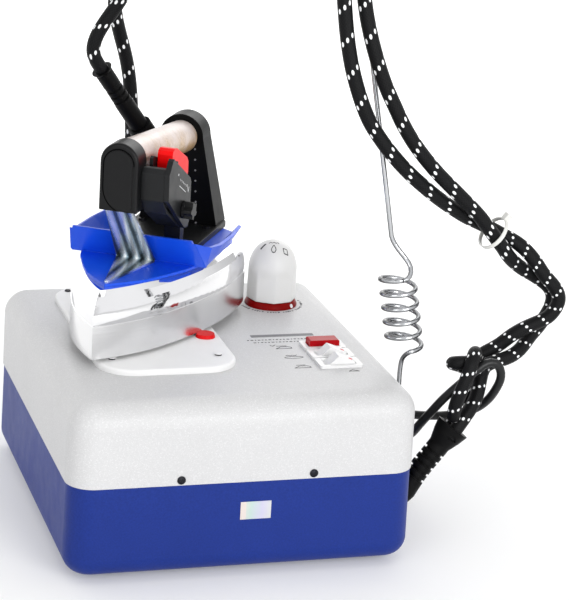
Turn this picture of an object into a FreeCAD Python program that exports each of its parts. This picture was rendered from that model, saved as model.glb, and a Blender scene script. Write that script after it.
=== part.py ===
import FreeCAD, Part
import math
import os
import Sketcher
from FreeCAD import Placement, Rotation, Vector

# Steam generator iron: a boiler housing with a tray, a cover, a filler cap, three rocker
# switches, a rest pad, a sprung hose rod and a hand iron standing on the rest pad.
# Frame: +X to the right of the control side, +Y to the back, +Z up; the origin is the
# centre of the footprint at the underside of the feet. Millimetres.

os.makedirs("parts", exist_ok=True)
doc = FreeCAD.newDocument("SteamGeneratorIron")
sheet = doc.addObject("Spreadsheet::Sheet", "Dims")

# alias, value, meaning
TABLE = [
    ("case_width", 290, "housing width along X"),
    ("case_depth", 324, "housing depth along Y"),
    ("foot_height", 5, "rubber foot height"),
    ("foot_radius", 11, "rubber foot radius"),
    ("seam_z", 83, "height of the seam between tray and cover"),
    ("top_z", 151, "height of the cover's top face"),
    ("corner_radius", 22, "vertical corner radius"),
    ("top_edge_radius", 20.5, "edge radius round the cover's top"),
    ("tray_edge_radius", 16, "edge radius round the tray's bottom"),
    ("tray_draft", 0.9, "inward lean of the tray's sides, degrees"),
    ("cover_draft", 0.5, "inward lean of the cover's sides, degrees"),
    ("wall", 3, "casing wall thickness"),
    ("lip", 1, "overhang of the cover over the tray"),
    ("tank_radius", 46, "boiler tank outer radius"),
    ("tank_length", 150, "boiler tank length"),
    ("tank_x", 85.5, "boiler tank axis, X"),
    ("tank_y", -8, "boiler tank front end, Y"),
    ("tank_z", 66, "boiler tank axis height"),
    ("cap_x", 85.5, "filler cap axis, X"),
    ("cap_y", 84, "filler cap axis, Y"),
    ("neck_radius", 11, "filler neck outer radius"),
    ("neck_bore", 8, "filler neck inner radius"),
    ("neck_top", 170, "height of the filler neck's rim"),
    ("cap_radius", 22.3, "filler cap radius at its foot"),
    ("cap_height", 53, "filler cap height"),
    ("ring_radius", 23.4, "cap ring radius"),
    ("switch_x", 96.5, "switch centre, X"),
    ("switch_front_y", -83, "front switch centre, Y"),
    ("switch_pitch", 23, "distance between switches"),
    ("bezel_width", 37, "switch bezel width along X"),
    ("bezel_depth", 20, "switch bezel depth along Y"),
    ("pad_x_low", -106, "rest pad, low X"),
    ("pad_x_high", 12, "rest pad, high X"),
    ("pad_y_low", -92, "rest pad, low Y"),
    ("pad_y_high", 135, "rest pad, high Y"),
    ("pad_height", 5, "rest pad height"),
    ("bumper_radius", 8.5, "rest bumper radius"),
    ("bumper_height", 3, "rest bumper height above the pad"),
    ("iron_tip_x", -111.3, "iron tip, X"),
    ("iron_tip_y", -71.7, "iron tip, Y"),
    ("iron_yaw", 58, "iron heading, degrees"),
    ("sole_length", 239, "iron sole length"),
    ("skirt_height", 28, "height of the sole casting"),
    ("shell_top", 55, "height of the shell's top above the sole"),
    ("grip_radius", 14.5, "cork grip radius"),
    ("core_radius", 5, "grip core rod radius"),
    ("post_half", 16.5, "front post half width"),
    ("rear_post_half", 20, "rear post half width at the grip"),
    ("strap_half", 12, "strap half width at the top"),
    ("running", 0.05, "radial running clearance"),
    ("hose_radius", 6, "braided hose radius"),
    ("mains_radius", 3.7, "mains cable radius"),
    ("rod_radius", 2, "hose rod wire radius"),
    ("coil_radius", 14.5, "hose rod coil centre radius"),
    ("coil_pitch", 12.5, "hose rod coil pitch"),
    ("rod_x", 151, "hose rod foot, X"),
    ("rod_y", -84, "hose rod foot, Y"),
]
for row, (alias, value, meaning) in enumerate(TABLE, 1):
    sheet.set("A%d" % row, meaning)
    sheet.set("B%d" % row, str(value))
    sheet.setAlias("B%d" % row, alias)
doc.recompute()
dim = {alias: float(getattr(sheet, alias)) for alias, _, _ in TABLE}

UPRIGHT = Rotation()
ALONG_X = Rotation(Vector(0, 1, 0), 90)
ALONG_Y = Rotation(Vector(1, 0, 0), -90)
CORNERS = ((-1, -1), (1, -1), (-1, 1), (1, 1))  # signs of X and Y

NODES = {}


# ------------------------------------------------------------------ document helpers
def node(obj):
    """Mark an object as a piece that is written out under its label."""
    NODES[obj.Label] = obj


def solid(name, shape, place=None):
    """Piece made from a finished shape."""
    obj = doc.addObject("Part::Feature", name)
    obj.Shape = shape
    if place is not None:
        obj.Placement = place
    node(obj)


def set_size(obj, key, size):
    """Set a property to a number, or bind it to the sheet when the size is an expression."""
    if isinstance(size, str):
        obj.setExpression(key, size)
    else:
        setattr(obj, key, size)


def primitive(kind, name, origin, turn=UPRIGHT, **sizes):
    obj = doc.addObject("Part::" + kind, name)
    for key, size in sizes.items():
        set_size(obj, key, size)
    obj.Placement = Placement(Vector(*origin), turn)
    return obj


def box(name, corner, length, width, height, turn=UPRIGHT):
    return primitive("Box", name, corner, turn, Length=length, Width=width, Height=height)


def cylinder(name, base, radius, height, turn=UPRIGHT):
    return primitive("Cylinder", name, base, turn, Radius=radius, Height=height)


def cut(name, base, tool):
    obj = doc.addObject("Part::Cut", name)
    obj.Base = base
    obj.Tool = tool
    return obj


def fuse(name, shapes):
    obj = doc.addObject("Part::MultiFuse", name)
    obj.Shapes = shapes
    return obj


def compound(name, links):
    obj = doc.addObject("Part::Compound", name)
    obj.Links = links
    return obj


def new_body(name, place=None):
    body = doc.addObject("PartDesign::Body", name)
    if place is not None:
        body.Placement = place
    return body


def new_sketch(body, name, plane="XY_Plane", lift=0.0):
    sketch = body.newObject("Sketcher::SketchObject", name)
    support = [item for item in body.Origin.OriginFeatures if item.Role == plane][0]
    sketch.AttachmentSupport = (support, [""])
    sketch.MapMode = "FlatFace"
    if isinstance(lift, str):
        sketch.setExpression(".AttachmentOffset.Base.z", lift)
    else:
        sketch.AttachmentOffset = Placement(Vector(0, 0, lift), Rotation())
    return sketch


def bound(alias, divisor=1, inset=0.0):
    """Pair of value and expression: a sheet dimension divided and then reduced."""
    return dim[alias] / divisor - inset, "Dims.%s / %g - %.4f" % (alias, divisor, inset)


def less_wall(size):
    """The same pair, smaller by the casing wall."""
    return size[0] - dim["wall"], size[1] + " - Dims.wall"


def rounded_rectangle(sketch, x_low, x_high, y_low, y_high, radius):
    """Closed rounded rectangle; each size is a pair of value and expression."""
    left, right, front, back, bend = (size[0] for size in (x_low, x_high, y_low, y_high, radius))

    def line(*ends):
        return Part.LineSegment(Vector(*ends[:2], 0), Vector(*ends[2:], 0))

    def arc(x, y, quarter):
        circle = Part.Circle(Vector(x, y, 0), Vector(0, 0, 1), bend)
        return Part.ArcOfCircle(circle, quarter * math.pi / 2, (quarter + 1) * math.pi / 2)

    geo = sketch.addGeometry([
        line(left + bend, front, right - bend, front),
        arc(right - bend, front + bend, -1),
        line(right, front + bend, right, back - bend),
        arc(right - bend, back - bend, 0),
        line(right - bend, back, left + bend, back),
        arc(left + bend, back - bend, 1),
        line(left, back - bend, left, front + bend),
        arc(left + bend, front + bend, 2),
    ], False)
    rule = Sketcher.Constraint
    for k in range(8):
        sketch.addConstraint(rule("Tangent", geo[k], 2, geo[(k + 1) % 8], 1))
    sketch.addConstraint([rule("Horizontal", geo[0]), rule("Horizontal", geo[4]),
                          rule("Vertical", geo[2]), rule("Vertical", geo[6])])
    sketch.addConstraint([rule("Equal", geo[1], geo[k]) for k in (3, 5, 7)])
    for name, constraint, size in (
        ("radius", rule("Radius", geo[1], bend), radius),
        ("side_x1", rule("DistanceX", -1, 1, geo[2], 1, right), x_high),
        ("side_x0", rule("DistanceX", -1, 1, geo[6], 1, left), x_low),
        ("side_y1", rule("DistanceY", -1, 1, geo[4], 1, back), y_high),
        ("side_y0", rule("DistanceY", -1, 1, geo[0], 1, front), y_low),
    ):
        index = sketch.addConstraint(constraint)
        sketch.renameConstraint(index, name)
        sketch.setExpression("Constraints." + name, size[1])


def centred_rectangle(sketch, half_width, half_depth, radius):
    """Rounded rectangle centred on the sketch's origin."""
    def opposite(size):
        return -size[0], "-(%s)" % size[1]

    rounded_rectangle(sketch, opposite(half_width), half_width,
                      opposite(half_depth), half_depth, radius)


def circle_on_x(sketch, x, radius):
    """Circle with its centre on the sketch's X axis."""
    geo = sketch.addGeometry(Part.Circle(Vector(x, 0, 0), Vector(0, 0, 1), radius), False)
    sketch.addConstraint(Sketcher.Constraint("Radius", geo, radius))
    sketch.addConstraint(Sketcher.Constraint("DistanceX", -1, 1, geo, 3, x))
    sketch.addConstraint(Sketcher.Constraint("DistanceY", -1, 1, geo, 3, 0))


def closed_lines(sketch, points):
    """Closed chain of straight lines with every corner fixed."""
    count = len(points)
    geo = sketch.addGeometry([
        Part.LineSegment(Vector(*points[k], 0), Vector(*points[(k + 1) % count], 0))
        for k in range(count)], False)
    for k in range(count):
        sketch.addConstraint(Sketcher.Constraint("Coincident", geo[k], 2, geo[(k + 1) % count], 1))
    for k in range(count):
        sketch.addConstraint(Sketcher.Constraint("DistanceX", -1, 1, geo[k], 1, points[k][0]))
        sketch.addConstraint(Sketcher.Constraint("DistanceY", -1, 1, geo[k], 1, points[k][1]))


def extrude(kind, body, sketch, length, name, taper, reverse):
    step = body.newObject("PartDesign::" + kind, name)
    step.Profile = sketch
    set_size(step, "Length", length)
    step.Reversed = reverse
    step.TaperAngle = taper
    return step


def pad(body, sketch, length, name, taper=0.0, reverse=False):
    return extrude("Pad", body, sketch, length, name, taper, reverse)


def pocket(body, sketch, length, name, taper=0.0, reverse=False):
    """Pocket that must take material away."""
    doc.recompute()
    before = body.Shape.Volume
    step = extrude("Pocket", body, sketch, length, name, taper, reverse)
    doc.recompute()
    if body.Shape.Volume > before - 5:
        raise RuntimeError(name + " cut nothing")
    return step


def round_edges_at(body, base, z, radius, name):
    """Fillet the edges of a body's step that lie in the plane z."""
    doc.recompute()
    names = []
    for i, edge in enumerate(base.Shape.Edges, 1):
        bounds = edge.BoundBox
        if abs(bounds.ZMin - z) < 0.05 and abs(bounds.ZMax - z) < 0.05:
            names.append("Edge%d" % i)
    step = body.newObject("PartDesign::Fillet", name)
    step.Base = (base, names)
    set_size(step, "Radius", radius)
    body.Tip = step
    doc.recompute()
    return step


def repeat_round(body, sketch, step, count, name):
    """Repeat a step round the normal of its sketch."""
    pattern = body.newObject("PartDesign::PolarPattern", name)
    pattern.Originals = [step]
    pattern.Axis = (sketch, ["N_Axis"])
    pattern.Angle = 360
    pattern.Occurrences = count
    body.Tip = pattern
    doc.recompute()


def revolved_body(name, stem, place, profile):
    """Body turned about its own Z from a profile of (radius, height)."""
    body = new_body(name, place)
    sketch = new_sketch(body, stem + "_profile", "XZ_Plane")
    closed_lines(sketch, profile)
    turned = body.newObject("PartDesign::Revolution", stem + "_revolve")
    turned.Profile = sketch
    turned.ReferenceAxis = (sketch, ["V_Axis"])
    turned.Angle = 360
    body.Tip = turned
    doc.recompute()
    return body


# ------------------------------------------------------------------ shape helpers
def unit(x, y, z):
    vector = Vector(x, y, z)
    vector.normalize()
    return vector


def closed_wire(points):
    return Part.makePolygon([Vector(*p) for p in points] + [Vector(*points[0])])


def slab(axis, outline, start, thickness):
    """Slab square to an axis: the outline holds the other two coordinates, in XYZ order."""
    index = "xyz".index(axis)
    direction = [0, 0, 0]
    direction[index] = thickness
    wire = closed_wire([pair[:index] + (start,) + pair[index:] for pair in outline])
    return Part.Face(wire).extrude(Vector(*direction))


def both_sides(half):
    """Plan outline from its half: (x, half width) going out at -Y and coming back at +Y."""
    return [(x, -y) for x, y in half] + [(x, y) for x, y in reversed(half) if y]


def cross_strip(first, second, half_width):
    """Rectangle across Y between two lines, each given by its (x, z)."""
    (xa, za), (xb, zb) = first, second
    return closed_wire([(xa, -half_width, za), (xb, -half_width, zb),
                        (xb, half_width, zb), (xa, half_width, za)])


def hexagon(radius, height, place):
    corners = [Vector(radius * math.cos(math.radians(60 * k)),
                      radius * math.sin(math.radians(60 * k)), 0) for k in range(7)]
    prism = Part.Face(Part.makePolygon(corners)).extrude(Vector(0, 0, height))
    prism.Placement = place
    return prism


def smooth_curve(points):
    curve = Part.BSplineCurve()
    curve.interpolate(Points=[Vector(*p) for p in points])
    return curve


def spline_pipe(points, radius, lead_out=None, pitch=None):
    """Round wire or hose along a smooth curve: ruled skins between rings set square to it."""
    points = [Vector(*p) for p in points]
    if lead_out is not None:
        points.insert(len(points) - 1, points[-1] - Vector(*lead_out))
    curve = smooth_curve(points)
    edge = curve.toShape()
    count = max(8, int(round(edge.Length / (pitch or max(radius, 2.5)))))
    side = Vector(0.31, 0.9, 0.21)
    rings = []
    for station in edge.discretize(Number=count + 1):
        along = curve.tangent(curve.parameter(station))[0]
        # each ring's start point follows the last one, so that the skin doesn't twist
        side = side - along * side.dot(along)
        side.normalize()
        circle = Part.Circle(station, along, radius)
        circle.XAxis = side
        rings.append(Part.Wire([circle.toShape()]))
    pipe = Part.makeLoft(rings, True, True)
    want = math.pi * radius * radius * edge.Length
    if not pipe.isValid() or abs(pipe.Volume - want) > 0.04 * want:
        raise RuntimeError("a pipe of radius %.1f did not close" % radius)
    return pipe


def coil_spring(foot, pitch, height, radius, wire):
    """Upright spring swept along a helix, starting at its foot on the +X side."""
    helix = Part.makeHelix(pitch, height, radius)
    helix.Placement = Placement(foot, Rotation())
    circle = Part.Circle(foot + Vector(radius, 0, 0), Vector(0, 1, 0), wire)
    ring = Part.Wire([circle.toShape()])
    return Part.Wire(helix.Edges).makePipeShell([ring], True, True)


# ------------------------------------------------------------------ housing
HALF_WIDTH = dim["case_width"] / 2
HALF_DEPTH = dim["case_depth"] / 2
FOOT, WALL, SEAM, TOP = dim["foot_height"], dim["wall"], dim["seam_z"], dim["top_z"]
TRAY_SLOPE = math.tan(math.radians(dim["tray_draft"]))
COVER_SLOPE = math.tan(math.radians(dim["cover_draft"]))
RIM_SETBACK = (SEAM - FOOT) * TRAY_SLOPE  # how far the tray leans in by the seam
RIM_Y = HALF_DEPTH - RIM_SETBACK
COVER_INSET = RIM_SETBACK - dim["lip"]
COVER_X = HALF_WIDTH - COVER_INSET
COVER_Y = HALF_DEPTH - COVER_INSET
SCREW_X, SCREW_Z = 55.0, 87.4  # cover screws, in the front and back walls
TANK_X, TANK_Y, TANK_Z = dim["tank_x"], dim["tank_y"], dim["tank_z"]
CAP_X, CAP_Y = dim["cap_x"], dim["cap_y"]
BOOT_Y, BOOT_Z = -110.0, 38.0  # hose boot in the tray's right side
MAINS_Y, MAINS_Z = -68, 98  # mains cable in the cover's right side
SWITCHES = ("front", "middle", "rear")


def switch_y(k):
    return dim["switch_front_y"] + k * dim["switch_pitch"]


def casing(prefix, stem, inset, draft, lift, height, hollow_lift, hollow_height,
           edge_z, hollow_edge_z, edge_radius):
    """Hollow drafted block with its closed end's edges rounded inside and out."""
    body = new_body("%s_%s_body" % (prefix, stem))
    sizes = [bound("case_width", 2, inset), bound("case_depth", 2, inset), bound("corner_radius")]
    sketch = new_sketch(body, stem + "_outline", lift=lift)
    centred_rectangle(sketch, *sizes)
    pad(body, sketch, height, stem + "_block", taper=-draft)
    sketch = new_sketch(body, stem + "_hollow_outline", lift=hollow_lift)
    centred_rectangle(sketch, *[less_wall(size) for size in sizes])
    hollow = pocket(body, sketch, hollow_height, stem + "_hollow", taper=-draft, reverse=True)
    inner = round_edges_at(body, hollow, hollow_edge_z, edge_radius + " - Dims.wall",
                           stem + "_inner_edge")
    round_edges_at(body, inner, edge_z, edge_radius, stem + "_outer_edge")
    return body


def wall_screw_holes(name, y_start, radius, height):
    """Four holes running outwards through the front and back walls."""
    return [cylinder("%s%d" % (name, i), (sx * SCREW_X, sy * y_start, SCREW_Z), radius, height,
                     Rotation(Vector(1, 0, 0), -90 * sy))
            for i, (sx, sy) in enumerate(CORNERS)]


def base_tray():
    tray = casing("base", "tray", 0.0, dim["tray_draft"], "Dims.foot_height",
                  "Dims.seam_z - Dims.foot_height", "Dims.foot_height + Dims.wall",
                  "Dims.seam_z - Dims.foot_height", FOOT, FOOT + WALL, "Dims.tray_edge_radius")
    # four tabs inside the seam carry the cover screws; a web joins each to the wall
    tabs = []
    for i, (sx, sy) in enumerate(CORNERS):
        x = sx * SCREW_X - 10
        tab_y = sy * (RIM_Y - WALL - 0.6)
        tabs.append(box("tab%d" % i, (x, min(tab_y, tab_y - sy * 5), 60), 20, 5, 36))
        web_out, web_in = sy * (RIM_Y - 1.5), tab_y - sy
        tabs.append(box("web%d" % i, (x, min(web_out, web_in), 62), 20, abs(web_out - web_in), 12))
    saddles = []
    saddle_z = FOOT + WALL - 0.5
    for i, y in enumerate((30, 108)):
        block = box("saddle_block%d" % i, (TANK_X - 36, y, saddle_z), 72, 6,
                    TANK_Z - 28 - saddle_z)
        bed = cylinder("saddle_bed%d" % i, (TANK_X, y - 10, TANK_Z), "Dims.tank_radius + 0.02", 30,
                       ALONG_Y)
        saddles.append(cut("saddle%d" % i, block, bed))
    # moulded boss level with the feet, so that the floor doesn't sag under the boiler
    boss = cylinder("middle_boss", (0, 0, 0), 14, "Dims.foot_height + Dims.wall / 2")
    holes = wall_screw_holes("tab_hole", RIM_Y - 12, 1.6, 20)
    holes.append(cylinder("boot_hole", (HALF_WIDTH - 12, BOOT_Y, BOOT_Z), 12, 20, ALONG_X))
    full = fuse("tray_with_tabs", [tray, boss] + tabs + saddles)
    node(cut("base_tray", full, fuse("tray_holes", holes)))


def top_cover():
    cover = casing("top", "cover", COVER_INSET, dim["cover_draft"], "Dims.seam_z",
                   "Dims.top_z - Dims.seam_z", "Dims.seam_z",
                   "Dims.top_z - Dims.seam_z - Dims.wall", TOP, TOP - WALL, "Dims.top_edge_radius")
    holes = wall_screw_holes("cover_hole", COVER_Y - 8, 1.7, 12)
    holes.append(cylinder("neck_hole", (CAP_X, CAP_Y, TOP - 8), "Dims.neck_radius + 1", 12))
    for k in range(len(SWITCHES)):
        corner = (dim["switch_x"] - dim["bezel_width"] / 2 + 3,
                  switch_y(k) - dim["bezel_depth"] / 2 + 2.2, TOP - 8)
        holes.append(box("switch_hole%d" % k, corner,
                         "Dims.bezel_width - 6", "Dims.bezel_depth - 4.4", 12))
    holes.append(cylinder("mains_hole", (COVER_X - 9, MAINS_Y, MAINS_Z),
                          "Dims.mains_radius + 0.6", 20, ALONG_X))
    node(cut("top_cover", cover, fuse("cover_holes", holes)))


def rubber_feet():
    inset = 38
    node(compound("rubber_feet", [
        primitive("Cone", "foot%d" % i, (sx * (HALF_WIDTH - inset), sy * (HALF_DEPTH - inset), 0),
                  Radius1="Dims.foot_radius - 1", Radius2="Dims.foot_radius",
                  Height="Dims.foot_height")
        for i, (sx, sy) in enumerate(CORNERS)]))


def front_label():
    """Plate lying on the tray's leaning front wall."""
    width, height = 25.5, 15
    centre_x, centre_z = 8.0, 58.0
    z = centre_z - height / 2
    wall_y = HALF_DEPTH - (z - FOOT) * TRAY_SLOPE
    node(box("front_label", (centre_x - width / 2, -wall_y - 0.45, z), width, 0.4, height,
             Rotation(Vector(1, 0, 0), -dim["tray_draft"])))


def cover_screw(sx, sy):
    """Domed cross-head screw in the front or back wall."""
    face = COVER_Y - (SCREW_Z - SEAM) * COVER_SLOPE
    outward = Vector(0, sy, 0)

    def at(y):
        return Vector(sx * SCREW_X, sy * y, SCREW_Z)

    head = Part.makeCylinder(3.5, 1.7, at(face + 0.06), outward)
    head = head.common(Part.makeSphere(4.9, at(face - 2.9)))
    screw = head.fuse(Part.makeCylinder(1.5, 11, at(face + 0.2), outward * -1))
    for angle in (20, 110):
        slot = Part.makeBox(4.2, 1.4, 0.9, Vector(-2.1, -0.7, 0))
        outwards = Rotation(Vector(1, 0, 0), -90 * sy)
        slot.Placement = Placement(at(face + 1.25),
                                   Rotation(Vector(0, 1, 0), angle).multiply(outwards))
        screw = screw.cut(slot)
    return screw.removeSplitter()


# ------------------------------------------------------------------ boiler
def boiler_tank():
    radius, length = dim["tank_radius"], dim["tank_length"]
    skin = 2.0
    back = length - skin
    # (radius, distance from the front end): outside to the back, then inside to the front
    profile = [
        (18, 0), (30, 0), (39, 4), (44, 11), (radius, 22), (radius, length - 24),
        (43, length - 12), (33, length - 4), (18, length - 0.6), (0, length),
        (0, back), (18, back - 0.6), (32, back - 4), (41.3, back - 12), (radius - skin, back - 22.5),
        (radius - skin, 22.5), (42.3, 12.2), (38, 6.2), (29.4, skin), (18, skin)]
    place = Placement(Vector(TANK_X, TANK_Y, TANK_Z), ALONG_Y)
    tank = revolved_body("tank_body", "tank", place, profile)
    neck = cylinder("neck_tube", (CAP_X, CAP_Y, TANK_Z + 44), "Dims.neck_radius",
                    "Dims.neck_top - Dims.tank_z - 44")
    port = cylinder("tank_port", (CAP_X, CAP_Y, TANK_Z), "Dims.neck_bore", 120)
    node(cut("boiler_tank", fuse("tank_and_neck", [tank, neck]), port))


def flange_places(y):
    """The six bolt centres of the heater flange, at depth y."""
    angles = [math.radians(60 * k + 30) for k in range(6)]
    return [Vector(TANK_X + 24 * math.cos(a), y, TANK_Z + 24 * math.sin(a)) for a in angles]


def boiler_heater():
    """Immersion heater: flange, two legs, a return bend and two terminals."""
    leg_offset, leg_radius, leg_z = 9, 4, TANK_Z - 8

    def pair(name, y, radius, height):
        return [cylinder("%s%d" % (name, i), (TANK_X + dx, y, leg_z), radius, height, ALONG_Y)
                for i, dx in enumerate((-leg_offset, leg_offset))]

    legs = pair("leg", TANK_Y - 4, leg_radius, 104)
    bend = primitive("Torus", "leg_bend", (TANK_X, TANK_Y + 100, leg_z), Radius1=leg_offset,
                     Radius2=leg_radius, Angle1=-180, Angle2=180, Angle3=180)
    flange = cylinder("heater_flange", (TANK_X, TANK_Y - 5, TANK_Z), 29, 5, ALONG_Y)
    terminals = pair("term", TANK_Y - 16, 2.2, 12)
    holes = [cylinder("flange_hole%d" % k, place, 2.3, 7.9, ALONG_Y)
             for k, place in enumerate(flange_places(TANK_Y - 8))]
    node(cut("boiler_heater", fuse("heater_fused", legs + [bend, flange] + terminals),
             fuse("flange_holes", holes)))


def heater_bolts():
    bolts = []
    for place in flange_places(TANK_Y - 8.4):
        head = hexagon(4.2, 3.4, Placement(place, ALONG_Y))
        bolts.append(head.fuse(Part.makeCylinder(2.0, 8.3, place, Vector(0, 1, 0))))
    solid("heater_bolts", Part.makeCompound(bolts))


def boiler_insulation():
    blanket = cut("blanket_tube",
                  cylinder("blanket_out", (TANK_X, TANK_Y + 46, TANK_Z), "Dims.tank_radius + 6",
                           66, ALONG_Y),
                  cylinder("blanket_in", (TANK_X, TANK_Y + 40, TANK_Z), "Dims.tank_radius + 0.2",
                           90, ALONG_Y))
    port = cylinder("blanket_port", (CAP_X, CAP_Y, TANK_Z), "Dims.neck_radius + 2", 80)
    node(cut("boiler_insulation", blanket, port))


# ------------------------------------------------------------------ steam valve, left of the tank
VALVE_X, VALVE_Y, VALVE_Z = -8.0, 60.0, 8.0


def steam_valve():
    """Valve body, coil, plunger and spring on one upright axis."""
    block = box("valve_block", (VALVE_X - 16, VALVE_Y - 16, VALVE_Z), 32, 32, 26)
    stem = cylinder("valve_stem", (VALVE_X, VALVE_Y, VALVE_Z + 24), 7, 46)
    bore = cylinder("valve_bore", (VALVE_X, VALVE_Y, VALVE_Z + 14), "4.5 + Dims.running", 50)
    node(cut("steam_valve_body", fuse("valve_fused", [block, stem]), bore))
    node(cut("steam_valve_coil",
             box("coil_block", (VALVE_X - 18, VALVE_Y - 14, VALVE_Z + 28), 36, 28, 34),
             cylinder("coil_bore", (VALVE_X, VALVE_Y, VALVE_Z + 20), 7.05, 60)))
    node(cylinder("valve_plunger", (VALVE_X, VALVE_Y, VALVE_Z + 14), 4.5, 34))
    solid("valve_spring", coil_spring(Vector(VALVE_X, VALVE_Y, VALVE_Z + 48.9),
                                      pitch=2.6, height=13.0, radius=3.2, wire=0.5))


def steam_pipe():
    """Pipe from the tank's left side down to the valve."""
    points = [(TANK_X - dim["tank_radius"] - 8, 70, TANK_Z + 4), (24, 70, 66), (18.5, 69, 52),
              (18, 67, 34), (15.5, 65, 23), (VALVE_X + 16.9, VALVE_Y + 4, VALVE_Z + 12)]
    solid("steam_pipe", spline_pipe(points, 3.0, lead_out=(-2.5, 0, 0)))


# ------------------------------------------------------------------ filler cap
def cap_ring():
    bore, radius = 12.2, dim["ring_radius"]
    profile = [(bore, 0), (radius, 0), (radius, 1.4), (radius - 1.0, 3.4), (radius - 2.4, 5.6),
               (bore, 5.6)]
    place = Placement(Vector(CAP_X, CAP_Y, TOP), UPRIGHT)
    node(revolved_body("cap_ring", "cap_ring", place, profile))


def safety_cap():
    """Fluted dome, hollow underneath."""
    bore, radius, height = 15.5, dim["cap_radius"], dim["cap_height"]
    # (radius, height): up the outside, then down the hollow
    profile = [
        (bore, 0), (radius, 0), (radius, 24), (radius - 0.3, 29), (radius - 1.2, 34),
        (radius - 2.8, 38.8), (radius - 5.2, 43.2), (radius - 8.4, 47), (radius - 12.4, 50.2),
        (radius - 17.2, height - 0.7), (0, height),
        (0, height - 3.5), (8, height - 6), (13, height - 12), (bore, height - 20)]
    place = Placement(Vector(CAP_X, CAP_Y, TOP + 6), UPRIGHT)
    cap = revolved_body("safety_cap", "cap_dome", place, profile)
    sketch = new_sketch(cap, "cap_flute", lift=3.0)
    circle_on_x(sketch, radius + 17.4, 18.2)
    flute = pocket(cap, sketch, 26, "cap_flute_cut", reverse=True)
    repeat_round(cap, sketch, flute, 12, "cap_flutes")
    node(cap)


def cap_inside():
    """Insert round the neck, seal disc on its rim and the spring above the disc."""
    neck_top = dim["neck_top"]
    node(cut("cap_insert", cylinder("insert_out", (CAP_X, CAP_Y, TOP + 6), 15.45, 25),
             cylinder("insert_in", (CAP_X, CAP_Y, TOP + 5), "Dims.neck_radius + Dims.running",
                      30)))
    node(cylinder("cap_seal", (CAP_X, CAP_Y, neck_top), 10.6, 3))
    radius, turns, rise = 6.5, 7, 28.8
    coil = []
    for k in range(12 * turns + 1):
        angle = 2 * math.pi * k / 12
        coil.append((CAP_X + radius * math.cos(angle), CAP_Y + radius * math.sin(angle),
                     neck_top + 3.7 + rise * k / (12 * turns)))
    solid("cap_spring", spline_pipe(coil, 0.6, pitch=1.3))


# ------------------------------------------------------------------ switches
PIVOT_Z = -1.5  # rocker pivot below the cover's top


def switch_housing(name, y):
    """Bezel and barrel with a well for the rocker, crossed by the pivot pin."""
    body = new_body(name + "_housing_body", Placement(Vector(dim["switch_x"], y, TOP), UPRIGHT))

    def outline(stem, inset_x, inset_y, radius, lift=0.0):
        sketch = new_sketch(body, "%s_%s" % (name, stem), lift=lift)
        centred_rectangle(sketch, bound("bezel_width", 2, inset_x),
                          bound("bezel_depth", 2, inset_y), (radius, str(radius)))
        return sketch

    rise = 2.4
    pad(body, outline("bezel", 0.0, 0.0, 2.0), rise, name + "_bezel_pad")
    pad(body, outline("barrel", 3.2, 2.4, 1.0), 20, name + "_barrel_pad", reverse=True)
    pocket(body, outline("well", 4.6, 3.6, 0.8, rise), 15, name + "_well_cut")
    pin_start = (dim["switch_x"], y - dim["bezel_depth"] / 2 + 3, TOP + PIVOT_Z)
    pin = cylinder(name + "_pin", pin_start, 1.5, "Dims.bezel_depth - 6", ALONG_Y)
    return fuse(name + "_housing_fused", [body, pin])


def rocker(name, y):
    half = dim["bezel_width"] / 2 - 5.0
    depth = dim["bezel_depth"] - 7.8
    if name == "rear":
        # flat-topped rocker, standing level
        tip = 0
        profile = [(-half + 0.4, 0.4), (-half + 0.4, 6.6), (-half + 1.4, 7.4), (half - 1.4, 7.4),
                   (half - 0.4, 6.6), (half - 0.4, 0.4), (5, -6.2), (-5, -6.2)]
    else:
        # tent-shaped rocker, its left side tipped down
        tip = math.radians(11)
        profile = [(-half + 0.5, 1.6), (0, 9.4), (half - 0.5, 1.6), (half - 0.5, 0.2),
                   (5, -6.2), (-5, -6.2), (-half + 0.5, 0.2)]
    outline = []
    for x, z in profile:
        arm = z - PIVOT_Z
        outline.append((dim["switch_x"] + x * math.cos(tip) - arm * math.sin(tip),
                        TOP + x * math.sin(tip) + arm * math.cos(tip) + PIVOT_Z))
    block = slab("y", outline, y - depth / 2, depth)
    bore = Part.makeCylinder(1.5 + dim["running"], 40,
                             Vector(dim["switch_x"], y - 20, TOP + PIVOT_Z), Vector(0, 1, 0))
    solid(name + "_rocker", block.cut(bore))


def switches():
    housings = []
    for k, name in enumerate(SWITCHES):
        housings.append(switch_housing(name, switch_y(k)))
        rocker(name, switch_y(k))
    node(compound("switch_housings", housings))


# ------------------------------------------------------------------ rest pad
PAD_SCREWS = [(-92, 121), (-2, 121), (-92, -62), (-2, -62)]  # x, y
BUMPERS = [(-1, -15), (-92, -30), (-60, 118), (-1, 76)]  # x, y


def iron_rest_pad():
    body = new_body("rest_pad_body", Placement(Vector(0, 0, TOP), UPRIGHT))
    sketch = new_sketch(body, "pad_outline")
    rounded_rectangle(sketch, bound("pad_x_low"), bound("pad_x_high"),
                      bound("pad_y_low"), bound("pad_y_high"), (30, "30"))
    block = pad(body, sketch, "Dims.pad_height", "pad_block")
    round_edges_at(body, block, dim["pad_height"], 2.5, "pad_edge")
    holes = [cylinder("pad_hole%d" % i, (x, y, TOP + 1), 1.6, 10)
             for i, (x, y) in enumerate(PAD_SCREWS)]
    holes += [cylinder("pad_seat%d" % i, (x, y, TOP + 3), "Dims.bumper_radius - 1", 10)
              for i, (x, y) in enumerate(BUMPERS)]
    node(cut("iron_rest_pad", body, fuse("pad_holes", holes)))


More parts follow.
